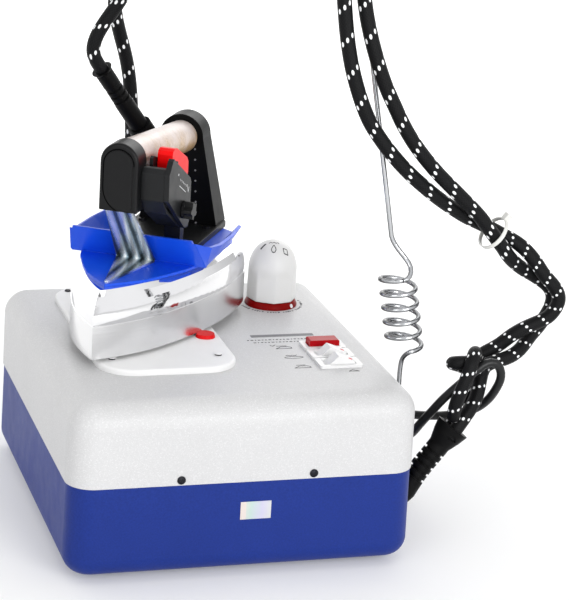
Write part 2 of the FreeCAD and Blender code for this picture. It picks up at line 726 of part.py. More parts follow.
def rest_bumpers():
    bumpers = []
    for i, (x, y) in enumerate(BUMPERS):
        stem = cylinder("bumper_stem%d" % i, (x, y, TOP + 3), "Dims.bumper_radius - 1.05", 3)
        head = primitive("Cone", "bumper_head%d" % i, (x, y, TOP + dim["pad_height"]),
                         Radius1="Dims.bumper_radius", Radius2="Dims.bumper_radius - 0.8",
                         Height="Dims.bumper_height")
        bumpers.append(fuse("bumper%d" % i, [stem, head]))
    node(compound("rest_bumpers", bumpers))


def housing_screws():
    """Cover screws in the walls and countersunk screws in the rest pad."""
    screws = [cover_screw(sx, sy) for sx, sy in CORNERS]
    for x, y in PAD_SCREWS:
        shank = Part.makeCylinder(1.5, 4.2, Vector(x, y, TOP + 1))
        screws.append(shank.fuse(Part.makeCone(3.0, 2.2, 1.3, Vector(x, y, TOP + 5.0))))
    solid("housing_screws", Part.makeCompound(screws))


# ------------------------------------------------------------------ hand iron: sole and shell
# local frame: X from the tip to the heel, Z up from the sole, Y to the left seen from the tip
IRON = Placement(Vector(dim["iron_tip_x"], dim["iron_tip_y"],
                        TOP + dim["pad_height"] + dim["bumper_height"]),
                 Rotation(Vector(0, 0, 1), dim["iron_yaw"]))
SOLE = dim["sole_length"]
HEEL = SOLE + 0.4
SKIRT, SHELL_TOP = dim["skirt_height"], dim["shell_top"]
SHIELD_TOP = SHELL_TOP + 2.5
BASE_TOP = SHIELD_TOP + 5
# sole outline: distance from the tip, half width
FLANK = [(0, 0), (15, 13.8), (31, 25.6), (48, 35.6), (66, 43.6), (88, 51.6), (110, 58),
         (135, 63.4), (165, 67), (192, 67.8), (212, 65.6), (227, 58), (235.5, 44), (SOLE, 22),
         (HEEL, 0)]
# steam holes in the sole: x, y
SOLE_HOLES = [(30, 0), (50, -16), (50, 16), (75, -27), (75, 27), (100, -36), (100, 36),
              (130, -42), (130, 42), (160, -46), (160, 46), (75, 0), (105, 0)]
INLET_X, INLET_Y = 216, 46  # steam inlet


def sole_outline(inset, z):
    """Wire of the iron's outline at height z, moved inwards by the inset."""
    flank = smooth_curve([(x, -half, 0) for x, half in FLANK])
    first, last = flank.FirstParameter, flank.LastParameter
    tip = inset / math.sin(math.radians(42))
    samples = 34
    near_side = [Vector(tip, 0, z)]
    for k in range(samples + 1):
        parameter = first + (last - first) * k / samples
        along = flank.tangent(parameter)[0]
        point = flank.value(parameter) + Vector(-along.y, along.x, 0) * inset
        # points that crowd the tip or the centre line would kink the curve
        if point.y < -0.4 and point.x > tip + 0.8:
            near_side.append(Vector(point.x, point.y, z))
    near_side.append(Vector(HEEL - inset, 0, z))
    far_side = [Vector(p.x, -p.y, z) for p in reversed(near_side)]
    return Part.Wire([smooth_curve(near_side).toShape(), smooth_curve(far_side).toShape()])


def sole_prism(inset, z_low, z_high):
    return Part.Face(sole_outline(inset, z_low)).extrude(Vector(0, 0, z_high - z_low))


def outline_loft(*levels):
    """Loft through outlines given as (inset, z)."""
    return Part.makeLoft([sole_outline(inset, z) for inset, z in levels], True, False)


def column_hole(z):
    """Tool that clears the thermostat column."""
    return Part.makeBox(11, 15, 20, Vector(117.6, -33.5, z))


def sole():
    """Sole casting, the heating element lying in it and the plate over its chamber."""
    casting = sole_prism(0, 0, SKIRT).cut(sole_prism(7, 13, SKIRT + 5))
    for x, y in SOLE_HOLES:
        casting = casting.cut(Part.makeCylinder(1.8, 14, Vector(x, y, -0.5)))
    solid("sole_plate", casting, IRON)
    element = [(212, -30), (150, -44), (95, -32), (60, -14), (48, 0),
               (60, 14), (95, 32), (150, 44), (212, 30)]
    solid("sole_heater", spline_pipe([(x, y, 17.2) for x, y in element], 4.0), IRON)
    solid("steam_chamber_cover", sole_prism(7.1, 22, 24), IRON)


def chrome_shell():
    """Shell from the skirt's edge to the flat top, its flanks leaning in more and more."""
    lower = outline_loft((0.6, SKIRT), (0.9, SKIRT + 9), (2.6, SKIRT + 17))
    middle = outline_loft((2.6, SKIRT + 17), (6.0, SKIRT + 23))
    upper = outline_loft((6.0, SKIRT + 23), (10.5, SHELL_TOP))
    hollow_low = outline_loft((3.0, SKIRT - 1), (3.2, SKIRT + 9), (5.0, SKIRT + 16))
    hollow_high = outline_loft((5.0, SKIRT + 16), (9.0, SHELL_TOP - 2.4))
    shell = lower.fuse(middle).fuse(upper).cut(hollow_low).cut(hollow_high)
    solid("chrome_shell", shell.cut(column_hole(SHELL_TOP - 10)), IRON)


def heat_shield():
    """Plate on the shell, a wall that leans forward and a brim along each side."""
    plan = [(25, 0), (40, 15), (52, 26), (70, 35.5), (95, 47), (123, 55), (160, 57), (200, 56),
            (222, 50), (231, 36), (231, 0)]  # x, half width
    plate = slab("z", both_sides(plan), SHELL_TOP, 2.5)
    foot_z, top_z = SHIELD_TOP - 1, SHELL_TOP + 29
    foot_x, top_x = 108.8, 88.5
    wall = Part.makeLoft([cross_strip((foot_x, foot_z), (113, foot_z), 60),
                          cross_strip((top_x, top_z), (91.5, top_z), 52.5)], True, True)
    shield = plate.fuse(wall)

    def on_wall(z):
        return foot_x - (z - foot_z) * (foot_x - top_x) / (top_z - foot_z)

    # brim sections: x, distance from the centre line, z
    sections = [
        [(on_wall(56.5), 49, 56.5), (on_wall(58), 60.5, 58), (on_wall(82), 55.5, 82),
         (on_wall(81), 52.0, 81)],
        [(112, 49, 56.5), (112, 60.2, 57.5), (112, 63.6, 74.0), (112, 60.8, 74.6)],
        [(136, 49, 56.5), (136, 59.0, 57.0), (136, 65.6, 70.5), (136, 62.8, 71.5)],
        [(170, 49, 56.5), (170, 58.2, 57.0), (170, 65.8, 69.5), (170, 63.0, 70.6)],
        [(204, 49, 56.5), (204, 55.5, 57.0), (204, 62.6, 69.0), (204, 59.8, 70.0)],
    ]
    for side in (-1, 1):
        wires = [closed_wire([(x, side * y, z) for x, y, z in section]) for section in sections]
        for start, end in zip(wires, wires[1:]):
            shield = shield.fuse(Part.makeLoft([start, end], True, True))
    shield = shield.cut(column_hole(SHELL_TOP - 10))
    shield = shield.cut(Part.makeCylinder(5.6, 30, Vector(INLET_X, INLET_Y, SHELL_TOP - 5)))
    solid("heat_shield", shield.removeSplitter(), IRON)


# ------------------------------------------------------------------ hand iron: handle
STRAP_FOOT_HALF = 17
STRAP_HALF = dim["strap_half"]
# the grip's axis falls slightly to the rear
GRIP_START = Vector(70.0, 0, 154.5)
GRIP_DIR = unit(215.0 - GRIP_START.x, 0, 140.0 - GRIP_START.z)
# cable outlet, leaving the rear post's +Y flank upwards
OUTLET = Vector(205, 30, 140)
OUTLET_DIR = unit(-20, 14.8, 32)
OUTLET_INNER = OUTLET - OUTLET_DIR * 34


def on_grip(x):
    return GRIP_START + GRIP_DIR * ((x - GRIP_START.x) / GRIP_DIR.x)


def rod_along(radius, x_start, x_end):
    """Cylinder on the grip's axis between two stations."""
    return Part.makeCylinder(radius, (x_end - x_start) / GRIP_DIR.x, on_grip(x_start), GRIP_DIR)


def core_bore(x_start, x_end):
    return rod_along(dim["core_radius"] + 0.05, x_start, x_end)


def grip_clearance():
    return rod_along(dim["grip_radius"] + 0.1, 60, 215)


def outlet_cylinder(radius, length, distance):
    """Cylinder on the cable outlet's axis, starting at a distance from the outlet."""
    return Part.makeCylinder(radius, length, OUTLET + OUTLET_DIR * distance, OUTLET_DIR)


def handle_base():
    plan = [(113.5, 36), (150, 38.5), (236, 38.5), (243, 34)]  # x, half width
    plate = slab("z", both_sides(plan), SHIELD_TOP, 5)
    plate = plate.cut(column_hole(SHIELD_TOP - 5))
    plate = plate.cut(Part.makeCylinder(6.2, 30, Vector(INLET_X, INLET_Y, SHIELD_TOP - 5)))
    solid("handle_base", plate, IRON)


def front_strap():
    """Folded strap that carries the front post: foot, leaning leg and upright tab."""
    plan = [(29, 1.5), (80, STRAP_HALF), (102.5, STRAP_FOOT_HALF)]  # x, half width
    foot = slab("z", both_sides(plan), SHIELD_TOP, 1.8)
    leg = Part.makeLoft([
        cross_strip((101.6, SHIELD_TOP + 1.2), (103.2, SHIELD_TOP + 2.6), STRAP_FOOT_HALF),
        cross_strip((54.4, 111.2), (56.0, 112.6), STRAP_HALF)], True, True)
    fold = slab("y", [(100.1, SHIELD_TOP + 1.0), (102.6, SHIELD_TOP), (103.8, SHIELD_TOP + 1.9),
                      (102.5, SHIELD_TOP + 3.2)], -STRAP_FOOT_HALF, 2 * STRAP_FOOT_HALF)
    tab = Part.makeBox(1.9, 2 * STRAP_HALF, 26, Vector(54.3, -STRAP_HALF, 111.5))
    solid("front_strap", foot.fuse(leg).fuse(fold).fuse(tab).removeSplitter(), IRON)


def front_post():
    """Arch-topped block with a slot for the strap's tab and a bore for the core rod."""
    half = dim["post_half"]
    face_x, depth, foot_z, arch_z = 49, 21, 113, 153.5
    post = Part.makeBox(depth, 2 * half, arch_z - foot_z, Vector(face_x, -half, foot_z))
    post = post.fuse(Part.makeCylinder(half, depth, Vector(face_x, 0, arch_z), Vector(1, 0, 0)))
    post = post.removeSplitter()
    edges = [edge for edge in post.Edges
             if abs(edge.BoundBox.XMax - face_x) < 0.01 and abs(edge.BoundBox.XMin - face_x) < 0.01
             and edge.BoundBox.ZMax > foot_z + 1]
    post = post.makeFillet(2.5, edges)
    # raised panel on the front: round top, rounded +Y foot, square -Y foot
    panel_half = 12.2
    panel = []
    for k in range(19):
        angle = math.pi * k / 18
        panel.append((-panel_half * math.cos(angle), 152 + panel_half * math.sin(angle)))
    for k in range(10):
        angle = math.pi / 2 * k / 9
        panel.append((panel_half - 17 * (1 - math.cos(angle)), 133 - 19.5 * math.sin(angle)))
    panel.append((-panel_half, 113.5))
    post = post.fuse(slab("x", panel, 48.0, 1.3))
    slot = Part.makeBox(2.1, 2 * STRAP_HALF + 0.2, 26, Vector(54.2, -STRAP_HALF - 0.1, 112))
    solid("front_post", post.cut(slot).cut(core_bore(58, 80)), IRON)


def rear_post_side():
    """Side profile of the rear post, wider than the post."""
    return slab("y", [(215, BASE_TOP), (215, 165), (236, 165), (242, BASE_TOP)], -60, 120)


def rear_post_block():
    """Rear post before its bores: an arch seen along X, common with its side profile."""
    half, arch_z = dim["rear_post_half"], 140
    arch = [(-36, BASE_TOP), (-half, arch_z)]
    for k in range(1, 24):
        angle = math.pi * k / 24
        arch.append((-half * math.cos(angle), arch_z + half * math.sin(angle)))
    arch += [(half, arch_z), (36, BASE_TOP)]
    return slab("x", arch, 210, 40).common(rear_post_side())


def rear_post():
    post = rear_post_block().cut(core_bore(205, 260))
    solid("rear_post", post.cut(Part.makeCylinder(8.3, 60, OUTLET_INNER, OUTLET_DIR)), IRON)


def cable_collar():
    collar = outlet_cylinder(10.8, 24, -12)
    collar = collar.cut(Part.makeCylinder(8.3, 80, OUTLET_INNER, OUTLET_DIR))
    collar = collar.cut(rear_post_block()).cut(grip_clearance())
    # the cuts leave loose scraps; the ring is the largest solid
    solid("cable_collar", max(collar.Solids, key=lambda piece: piece.Volume), IRON)


def iron_cable_boot():
    """Tapering boot with three grooves and a flared, bored end."""
    boot = Part.makeCylinder(8.2, 70, OUTLET_INNER + OUTLET_DIR * 4, OUTLET_DIR)
    cone = Part.makeCone(8.0, 7.0, 36, OUTLET + OUTLET_DIR * 39.5, OUTLET_DIR)
    boot = boot.fuse(cone).fuse(outlet_cylinder(7.6, 14, 62))
    for k in range(3):
        distance = 44 + 6.2 * k
        groove = outlet_cylinder(12, 2.6, distance).cut(outlet_cylinder(6.3, 2.6, distance))
        boot = boot.cut(groove)
    boot = boot.fuse(Part.makeCone(7.0, 9.4, 3.5, OUTLET + OUTLET_DIR * 75.5, OUTLET_DIR))
    boot = boot.cut(outlet_cylinder(6.25, 20, 66.9))
    solid("iron_cable_boot", boot.cut(grip_clearance()), IRON)


def grip():
    """Cork sleeve, the core rod through it and the capped nut at the rod's rear end."""
    sleeve = rod_along(dim["grip_radius"], 60, 225)
    sleeve = sleeve.common(Part.makeBox(145, 60, 80, Vector(70, -30, 110)))
    solid("cork_grip", sleeve.cut(core_bore(40, 250)), IRON)
    solid("grip_core_rod", rod_along(dim["core_radius"], 58.2, 246), IRON)
    end = on_grip(246.2)
    nut = hexagon(8, 6, Placement(end - GRIP_DIR * 6.0, Rotation(Vector(0, 0, 1), GRIP_DIR)))
    nut = nut.cut(Part.makeCylinder(5.02, 30, end - GRIP_DIR * 20, GRIP_DIR))
    nut = nut.cut(rear_post_side()).fuse(Part.makeCylinder(6.5, 3, end, GRIP_DIR))
    solid("grip_nut", max(nut.Solids, key=lambda piece: piece.Volume), IRON)


# ------------------------------------------------------------------ hand iron: switch box, -Y side
# profiles are (x, z)
BOX_SLOPE = ((72, 146.7), (117, 122))  # sloping top of the box
BUTTON_SLOPE = ((112, 131.5), (81, 145))  # underside of the button
BUTTON_X, BUTTON_Z = 86, 150  # button pivot
KNOB_X, KNOB_Z = 98, 108  # thermostat and knob axis
SPINDLE_RADIUS = 3.0


def across(radius, length, x, y, z):
    """Cylinder that runs towards -Y."""
    return Part.makeCylinder(radius, length, Vector(x, y, z), Vector(0, -1, 0))


def switch_box():
    outside = [(58, 146), (62, 149.5), (66, 150), *BOX_SLOPE, (117.6, 118), (117.6, 92),
               (114, 89), (105, 90), (70, 110), (58.6, 123)]
    cavity = [(61, 144), (66, 146), (115, 119.5), (115, 94), (106, 92.8), (72, 112.6),
              (61, 124.5)]
    cheek = [(72, 144), (72, 155), (75, 156.5), (92, 151), (92, 134)]
    casing_box = slab("y", outside, -16.6, -19.4).cut(slab("y", cavity, -18.8, -30))
    casing_box = casing_box.fuse(slab("y", cheek, -18.6, -3))
    casing_box = casing_box.fuse(across(1.5, 19.6, BUTTON_X, -18.7, BUTTON_Z))
    solid("switch_box", casing_box.removeSplitter(), IRON)


def switch_box_cover():
    profile = [(58, 146), (62, 150), (66.5, 156), (69, 157.5), (73, 155), (116, 131),
               (118.6, 127), (118.6, 95), (114, 89), (105, 90), (58.6, 124)]
    cover = slab("y", profile, -36.05, -4.6)
    cover = cover.cut(across(SPINDLE_RADIUS + 0.05, 60, KNOB_X, 0, KNOB_Z))
    cover = cover.cut(across(1.55, 38.4, BUTTON_X, 0, BUTTON_Z))
    solid("switch_box_cover", cover, IRON)


def steam_button():
    """Button on its pivot, with the coil spring between it and the box."""
    profile = [BUTTON_SLOPE[1], (80.6, 157), (82, 160), (86, 161.6), (92, 161), (121, 147),
               (125, 142.5), (125.4, 133), (122.5, 129.5), BUTTON_SLOPE[0]]
    button = slab("y", profile, -22.4, -13)
    solid("steam_button", button.cut(across(1.55, 60, BUTTON_X, 0, BUTTON_Z)), IRON)

    spring_x = 108

    def height_on(slope):
        (x_start, z_start), (x_end, z_end) = slope
        return z_start + (spring_x - x_start) * (z_end - z_start) / (x_end - x_start)

    base_z = height_on(BOX_SLOPE) + 0.65
    height = height_on(BUTTON_SLOPE) - base_z - 2.2
    spring = coil_spring(Vector(spring_x, -29, base_z + 1.4),
                         pitch=1.4, height=height, radius=2.0, wire=0.35)
    solid("button_spring", spring, IRON)


def box_contents():
    """Microswitch and thermostat inside the box."""
    block = Part.makeBox(20, 9, 9.5, Vector(65, -27.8, 123))
    solid("microswitch", block.fuse(Part.makeBox(3, 3, 2.2, Vector(74, -25, 132))), IRON)
    can = across(8.6, 13, KNOB_X, -18.85, KNOB_Z)
    can = can.cut(across(SPINDLE_RADIUS + 0.05, 20, KNOB_X, -24, KNOB_Z))
    solid("thermostat_body", can, IRON)


def temperature_knob():
    """Knob with five scallops, and its spindle running back into the box."""
    height = 9.5
    place = Placement(Vector(KNOB_X, -41.2, KNOB_Z), Rotation(Vector(1, 0, 0), 90))
    knob = new_body("temperature_knob", IRON.multiply(place))
    disc = new_sketch(knob, "knob_disc")
    circle_on_x(disc, 0, 7.6)
    pad(knob, disc, height, "knob_pad")
    spindle = new_sketch(knob, "knob_spindle")
    circle_on_x(spindle, 0, SPINDLE_RADIUS)
    pad(knob, spindle, 15.6, "spindle_pad", reverse=True)
    scallop = new_sketch(knob, "knob_scallop", lift=height)
    circle_on_x(scallop, 9.4, 4.0)
    scallop_cut = pocket(knob, scallop, 7.5, "knob_scallop_cut")
    repeat_round(knob, scallop, scallop_cut, 5, "knob_scallops")
    node(knob)


def iron_fittings():
    """Column from the chamber cover up to the box, the steam inlet and four slotted screws."""
    foot_z = 24.05
    column = Part.makeBox(10, 14, 118 - foot_z, Vector(118.1, -33, foot_z))
    column = column.cut(Part.makeCylinder(3, 200, Vector(123, -26, 0)))
    solid("thermostat_column", column, IRON)
    inlet = Part.makeCylinder(5.5, 18, Vector(INLET_X, INLET_Y, SHELL_TOP))
    inlet = inlet.fuse(Part.makeCylinder(7.5, 5, Vector(INLET_X, INLET_Y, SHELL_TOP + 9)))
    solid("steam_inlet", inlet, IRON)
    screws = []
    for x, y, z in ((150, -44, SHIELD_TOP), (150, 44, SHIELD_TOP),
                    (206, -30, BASE_TOP), (206, 30, BASE_TOP)):
        slot = Part.makeBox(5, 0.9, 2, Vector(x - 2.5, y - 0.45, z + 0.9))
        screws.append(Part.makeCylinder(3.2, 1.6, Vector(x, y, z)).cut(slot))
    solid("iron_screws", Part.makeCompound(screws), IRON)


# ------------------------------------------------------------------ hose rod
ROD_X, ROD_Y, ROD_RADIUS = dim["rod_x"], dim["rod_y"], dim["rod_radius"]
ROD_TOP = Vector(77.8, ROD_Y, 560)
ROD_LEAN = Vector(-0.189, 0, 1)
ROD_LOW_Z, ROD_END_Z = 266, 582  # ends of the rod's straight length


def on_rod(z):
    return ROD_TOP + ROD_LEAN * (z - ROD_TOP.z)


def coil_points():
    """Five turns about an axis that leans to the left as it rises."""
    points = []
    for k in range(5 * 12 + 1):
        angle = 2 * math.pi * k / 12 - math.pi / 2
        z = 165 + dim["coil_pitch"] * k / 12
        axis_x = 147.5 - 0.185 * (z - 196)
        points.append((axis_x + dim["coil_radius"] * math.cos(angle),
                       ROD_Y + dim["coil_radius"] * math.sin(angle), z))
    return points


def rod_socket():
    """Block on the cover's right wall, bored for the rod's foot."""
    block = Part.makeBox(13.5, 18, 30, Vector(COVER_X - 0.8, ROD_Y - 9, 95))
    face = COVER_X + 0.1
    wall = slab("y", [(COVER_X - 2, 80), (face, 80), (face - 0.56, 140), (COVER_X - 2, 140)],
                ROD_Y - 20, 40)
    block = block.cut(wall).cut(Part.makeCylinder(2.08, 60, Vector(ROD_X, ROD_Y, 97)))
    solid("rod_socket", max(block.Solids, key=lambda piece: piece.Volume))


def rod_coil():
    """Straight foot that runs into the coil."""
    foot = [(ROD_X, ROD_Y, z) for z in (97.4, 104, 111, 118, 125, 132, 145)]
    lead = [(ROD_X + 0.4, ROD_Y - 2.5, 155)]
    solid("rod_coil", spline_pipe(foot + lead + coil_points(), ROD_RADIUS))


def hose_rod():
    """Bend out of the coil, leaning straight length and a ball at the top."""
    x, y, z = coil_points()[-1]
    low, end = on_rod(ROD_LOW_Z), on_rod(ROD_END_Z)
    bend = [(x + 0.3, y, z + 0.03), (x + 6, y + 1.6, z + 2.2), (x + 8.5, y + 6, z + 8.5),
            (x + 4, y + 11.5, z + 17), (x - 3.5, y + 14.3, z + 26.5), low]
    rod = spline_pipe(bend, ROD_RADIUS, pitch=4).fuse(Part.makeSphere(ROD_RADIUS + 0.02, low))
    rod = rod.fuse(Part.makeCylinder(ROD_RADIUS, (end - low).Length, low, ROD_LEAN))
    solid("hose_rod", rod.fuse(Part.makeSphere(3.4, end)))


# ------------------------------------------------------------------ hoses
# both run from the housing's boot over the rod's clip to the iron
HOSE = dim["hose_radius"]
BOOT_LIP = Vector(190, BOOT_Y, 97)
BOOT_DIR = unit(14, 0, 19)
MOUTH_HALF = 6.4  # half spacing of the hoses in the boot
# stations of the bundle: x, y, z, half spacing of the two hoses, angle of the spacing about
# the route in degrees
ROUTE = [
    (214, -98, 130, 6.8, 0), (222, -90, 150, 6.9, 10), (240, -88, 158, 7.0, 35),
    (262, -84, 172, 7.0, 110), (282, -80, 186, 7.0, 160), (288, -80, 203, 7.0, 180),
    (272, -80, 222, 7.0, 200), (252, -80, 240, 7.0, 262), (236, -81, 253, 7.0, 320),
    (202, -86, 279, 7.0, 395), (164, -94, 309, 7.6, 440), (136, -99, 336, 9.6, 450),
    (111.5, -101, 370, 12.0, 450), (93.5, -101, 412, 10.6, 450), (84.5, -99, 450, 8.6, 450),
    (79, -97, 500, 7.3, 450), (77.6, -96, 540, 7.2, 450), (77.6, -96, 576, 7.2, 450)]


def strand(sign):
    """Centre points of one hose from inside the boot to the end of the shared route."""
    start = BOOT_LIP - BOOT_DIR * 4
    lip = BOOT_LIP + BOOT_DIR * 5.5
    near = BOOT_LIP + BOOT_DIR * 15
    stations = [(*start, MOUTH_HALF, 0), (*lip, MOUTH_HALF, 0),
                (near.x, BOOT_Y + 1.2, near.z, 6.5, 0)] + ROUTE
    curve = smooth_curve([station[:3] for station in stations])
    marks = [curve.parameter(Vector(*station[:3])) for station in stations]
    steps = 66
    points = []
    for k in range(steps + 1):
        parameter = marks[0] + (marks[-1] - marks[0]) * k / steps
        i = 0
        while i < len(marks) - 2 and marks[i + 1] < parameter:
            i += 1
        share = (parameter - marks[i]) / (marks[i + 1] - marks[i])
        spacing, degrees = (stations[i][column]
                            + (stations[i + 1][column] - stations[i][column]) * share
                            for column in (3, 4))
        angle = math.radians(degrees)
        along = curve.tangent(parameter)[0]
        side = Vector(0, 1, 0) - along * along.y
        side.normalize()
        over = along.cross(side)
        offset = (side * math.cos(angle) + over * math.sin(angle)) * (sign * spacing)
        points.append(curve.value(parameter) + offset)
    return points


def base_cable_boot():
    """Ribbed boot on the tray's right side with a flared lip, hollowed for the two hoses."""
    bend_end = Vector(160, BOOT_Y, 56)
    spine = [(HALF_WIDTH - 6, BOOT_Y, BOOT_Z), (HALF_WIDTH + 5, BOOT_Y, BOOT_Z + 3), bend_end,
             (176, BOOT_Y, 78), BOOT_LIP]
    boot = spline_pipe(spine, 9.3, lead_out=BOOT_DIR * 4)
    boot = boot.fuse(Part.makeCylinder(14, 4.2, Vector(HALF_WIDTH - 0.25, BOOT_Y, BOOT_Z),
                                       Vector(1, 0, 0)))
    for k in range(5):
        base = bend_end + BOOT_DIR * (2 + 6.5 * k)
        groove = Part.makeCylinder(20, 2.4, base, BOOT_DIR)
        boot = boot.cut(groove.cut(Part.makeCylinder(7.4, 2.4, base, BOOT_DIR)))
    boot = boot.fuse(Part.makeCone(12.5, 14.8, 9.5, BOOT_LIP - BOOT_DIR * 5, BOOT_DIR))
    boot = boot.fuse(Part.makeCone(9.2, 12.6, 10, BOOT_LIP - BOOT_DIR * 14.5, BOOT_DIR))
    first, second = (
        Part.makeCylinder(HOSE + 0.9, 20, BOOT_LIP - BOOT_DIR * 4.6 + Vector(0, dy, 0), BOOT_DIR)
        for dy in (MOUTH_HALF, -MOUTH_HALF))
    boot = boot.cut(first.fuse(second))
    for sign in (1, -1):
        boot = boot.cut(spline_pipe(strand(sign)[:12], HOSE + 0.5))
    solid("base_cable_boot", boot)


def iron_cable():
    """Hose that ends inside the boot on the rear post."""
    end = IRON.multVec(OUTLET + OUTLET_DIR * 79.2)
    tail = [(66, -90, 602), (44, -58, 618), (10, -12, 597), (-22, 34, 540), (-46, 66, 478),
            (-64, 90, 420), (end.x - 7.4, end.y - 2.2, end.z + 12), end,
            end + IRON.Rotation.multVec(OUTLET_DIR) * -12]
    solid("iron_cable", spline_pipe(strand(1) + tail, HOSE))


def steam_hose():
    """Hose that ends on top of the steam inlet."""
    tail = [(82, -95, 604), (62, -80, 629), (26, -42, 633), (-12, 2, 602), (-40, 48, 546),
            (-58, 92, 474), (-60, 117, 412), (-45, 131, 364), (-37.0, 135.5, 310),
            IRON.multVec(Vector(INLET_X, INLET_Y, SHELL_TOP + 18.2))]
    solid("steam_hose", spline_pipe(strand(-1) + tail, HOSE, lead_out=(0, 0, -9)))


def hose_clip():
    """Block at the rod's top, bored for both hoses and the rod."""
    height = 16
    clip = Part.makeBox(34, 27, height, Vector(60.6, -106, 552))
    upright = [edge for edge in clip.Edges if abs(edge.BoundBox.ZLength - height) < 0.01]
    clip = clip.makeFillet(5, upright)
    for x in (70.4, 84.8):
        clip = clip.cut(Part.makeCylinder(6.75, 60, Vector(x, -96, 530)))
    clip = clip.cut(Part.makeCylinder(ROD_RADIUS + 0.03, 60, on_rod(530), ROD_LEAN))
    solid("hose_clip", clip)


def hose_tie():
    """Band round both hoses, with a small block on its outside."""
    band = Part.makeCylinder(15.0, 3.4).cut(Part.makeCylinder(14.0, 3.4))
    tie = band.fuse(Part.makeBox(6, 6, 5, Vector(14.4, -3, -0.8)))
    along = Rotation(Vector(0, 0, 1), unit(-34, -4, 26))
    solid("hose_tie", tie, Placement(Vector(226, -82.4, 260.8), along))


# ------------------------------------------------------------------ mains cable
MAINS_END = Vector(171, -24, 58)


def mains_cable():
    """Cable from the cover's right side, looped up beside the hoses and down to its plug."""
    points = [(COVER_X + dx, MAINS_Y, MAINS_Z) for dx in (-4, 4, 12)]
    points += [
        (174, -67.5, 96.5), (189.6, -67, 94.8), (202.5, -70, 95.8), (213.4, -80, 101.8),
        (219.8, -91, 109.2), (225.5, -101, 120), (229.2, -109.5, 134), (230.6, -113, 144.9),
        (228.7, -113.5, 152.6), (223.6, -113.5, 157.6), (217.3, -113.5, 157.7),
        (210.5, -114, 154.1), (200.5, -113.5, 145.6), (191, -111, 135.6), (182.8, -106, 124.1),
        (176.9, -97, 109.9), (172, -89, 97.6), (169, -80, 86), (167, -66, 76), (167, -50, 71),
        (169, -35, 68), MAINS_END]
    solid("mains_cable", spline_pipe(points, dim["mains_radius"], lead_out=(0.16, 0.76, -3.92)))


def mains_plug():
    direction = unit(0.04, 0.19, -0.98)
    start = MAINS_END + direction * 1.3
    plug = Part.makeCone(6, 12, 18, start, direction)
    plug = plug.fuse(Part.makeCylinder(15, 16, start + direction * 18, direction))
    for dx in (-9.5, 9.5):
        pin_start = start + direction * 33 + Vector(dx, 0, 0)
        plug = plug.fuse(Part.makeCylinder(2.4, 19, pin_start, direction))
    solid("mains_plug", plug)


# ------------------------------------------------------------------ build, check and write
for build in (
    base_tray, top_cover, rubber_feet, front_label,
    boiler_tank, boiler_heater, heater_bolts, boiler_insulation, steam_valve, steam_pipe,
    cap_ring, safety_cap, cap_inside, switches, iron_rest_pad, rest_bumpers, housing_screws,
    sole, chrome_shell, heat_shield, handle_base, front_strap, front_post, rear_post,
    cable_collar, iron_cable_boot, grip, switch_box, switch_box_cover, steam_button,
    box_contents, temperature_knob, iron_fittings,
    rod_socket, rod_coil, hose_rod, iron_cable, steam_hose, base_cable_boot, hose_clip,
    hose_tie, mains_cable, mains_plug,
):
    build()

doc.recompute()
bad = ["%s %s" % (obj.Name, obj.State) for obj in doc.Objects
       if "Invalid" in obj.State or "Error" in obj.State]
for name, obj in NODES.items():
    if obj.Shape.isNull() or not obj.Shape.isValid() or not obj.Shape.Solids:
        bad.append("shape " + name)
if bad:
    raise RuntimeError("; ".join(bad))
for name, obj in NODES.items():
    obj.Shape.exportStep("parts/%s.step" % name)
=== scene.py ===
# Steam ironing station: a low base with boiler, filler cap and three switches, a hand iron on
# its rest pad, and two braided hoses that climb a rod and arch over to the iron.
# Metres, floor at z = 0. The front faces -Y and the right side +X. The rod stands at the front
# right, the filler cap at the back right, the iron on the left with its tip to the front left.
import math
import random

import bpy
import numpy as np
from mathutils import Matrix, Vector
from mathutils.bvhtree import BVHTree


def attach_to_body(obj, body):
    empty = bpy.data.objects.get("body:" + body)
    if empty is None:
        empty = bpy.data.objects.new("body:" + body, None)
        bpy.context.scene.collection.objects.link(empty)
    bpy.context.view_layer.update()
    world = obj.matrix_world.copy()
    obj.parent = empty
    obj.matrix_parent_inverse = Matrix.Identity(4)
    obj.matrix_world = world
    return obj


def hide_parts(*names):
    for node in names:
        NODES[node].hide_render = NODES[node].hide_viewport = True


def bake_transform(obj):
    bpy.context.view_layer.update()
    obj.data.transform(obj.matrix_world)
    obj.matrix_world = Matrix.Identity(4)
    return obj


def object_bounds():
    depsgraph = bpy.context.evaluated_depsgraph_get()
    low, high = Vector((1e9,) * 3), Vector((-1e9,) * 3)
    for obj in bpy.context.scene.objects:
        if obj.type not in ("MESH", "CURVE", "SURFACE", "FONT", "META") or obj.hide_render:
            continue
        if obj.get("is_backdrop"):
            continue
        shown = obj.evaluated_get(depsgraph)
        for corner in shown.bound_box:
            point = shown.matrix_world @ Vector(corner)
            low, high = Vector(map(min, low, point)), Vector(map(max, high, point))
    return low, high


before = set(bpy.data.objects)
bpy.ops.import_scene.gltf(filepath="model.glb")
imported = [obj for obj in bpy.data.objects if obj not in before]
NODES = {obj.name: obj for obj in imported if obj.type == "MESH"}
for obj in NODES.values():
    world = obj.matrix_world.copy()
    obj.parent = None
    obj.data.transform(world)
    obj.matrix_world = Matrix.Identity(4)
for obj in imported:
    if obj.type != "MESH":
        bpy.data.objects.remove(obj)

START_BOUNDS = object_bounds()
random.seed(7)

# ---------------------------------------------------------------- the hand iron's own frame
YAW = math.radians(58)
TIP = Vector((-0.1113, -0.0717, 0.159))                     # on the sole's plane
HEELWARD = Vector((math.cos(YAW), math.sin(YAW), 0))
RIGHTWARD = Vector((math.sin(YAW), -math.cos(YAW), 0))


def iron_vector(along, right, height):
    return HEELWARD * along + RIGHTWARD * right + Vector((0, 0, height))


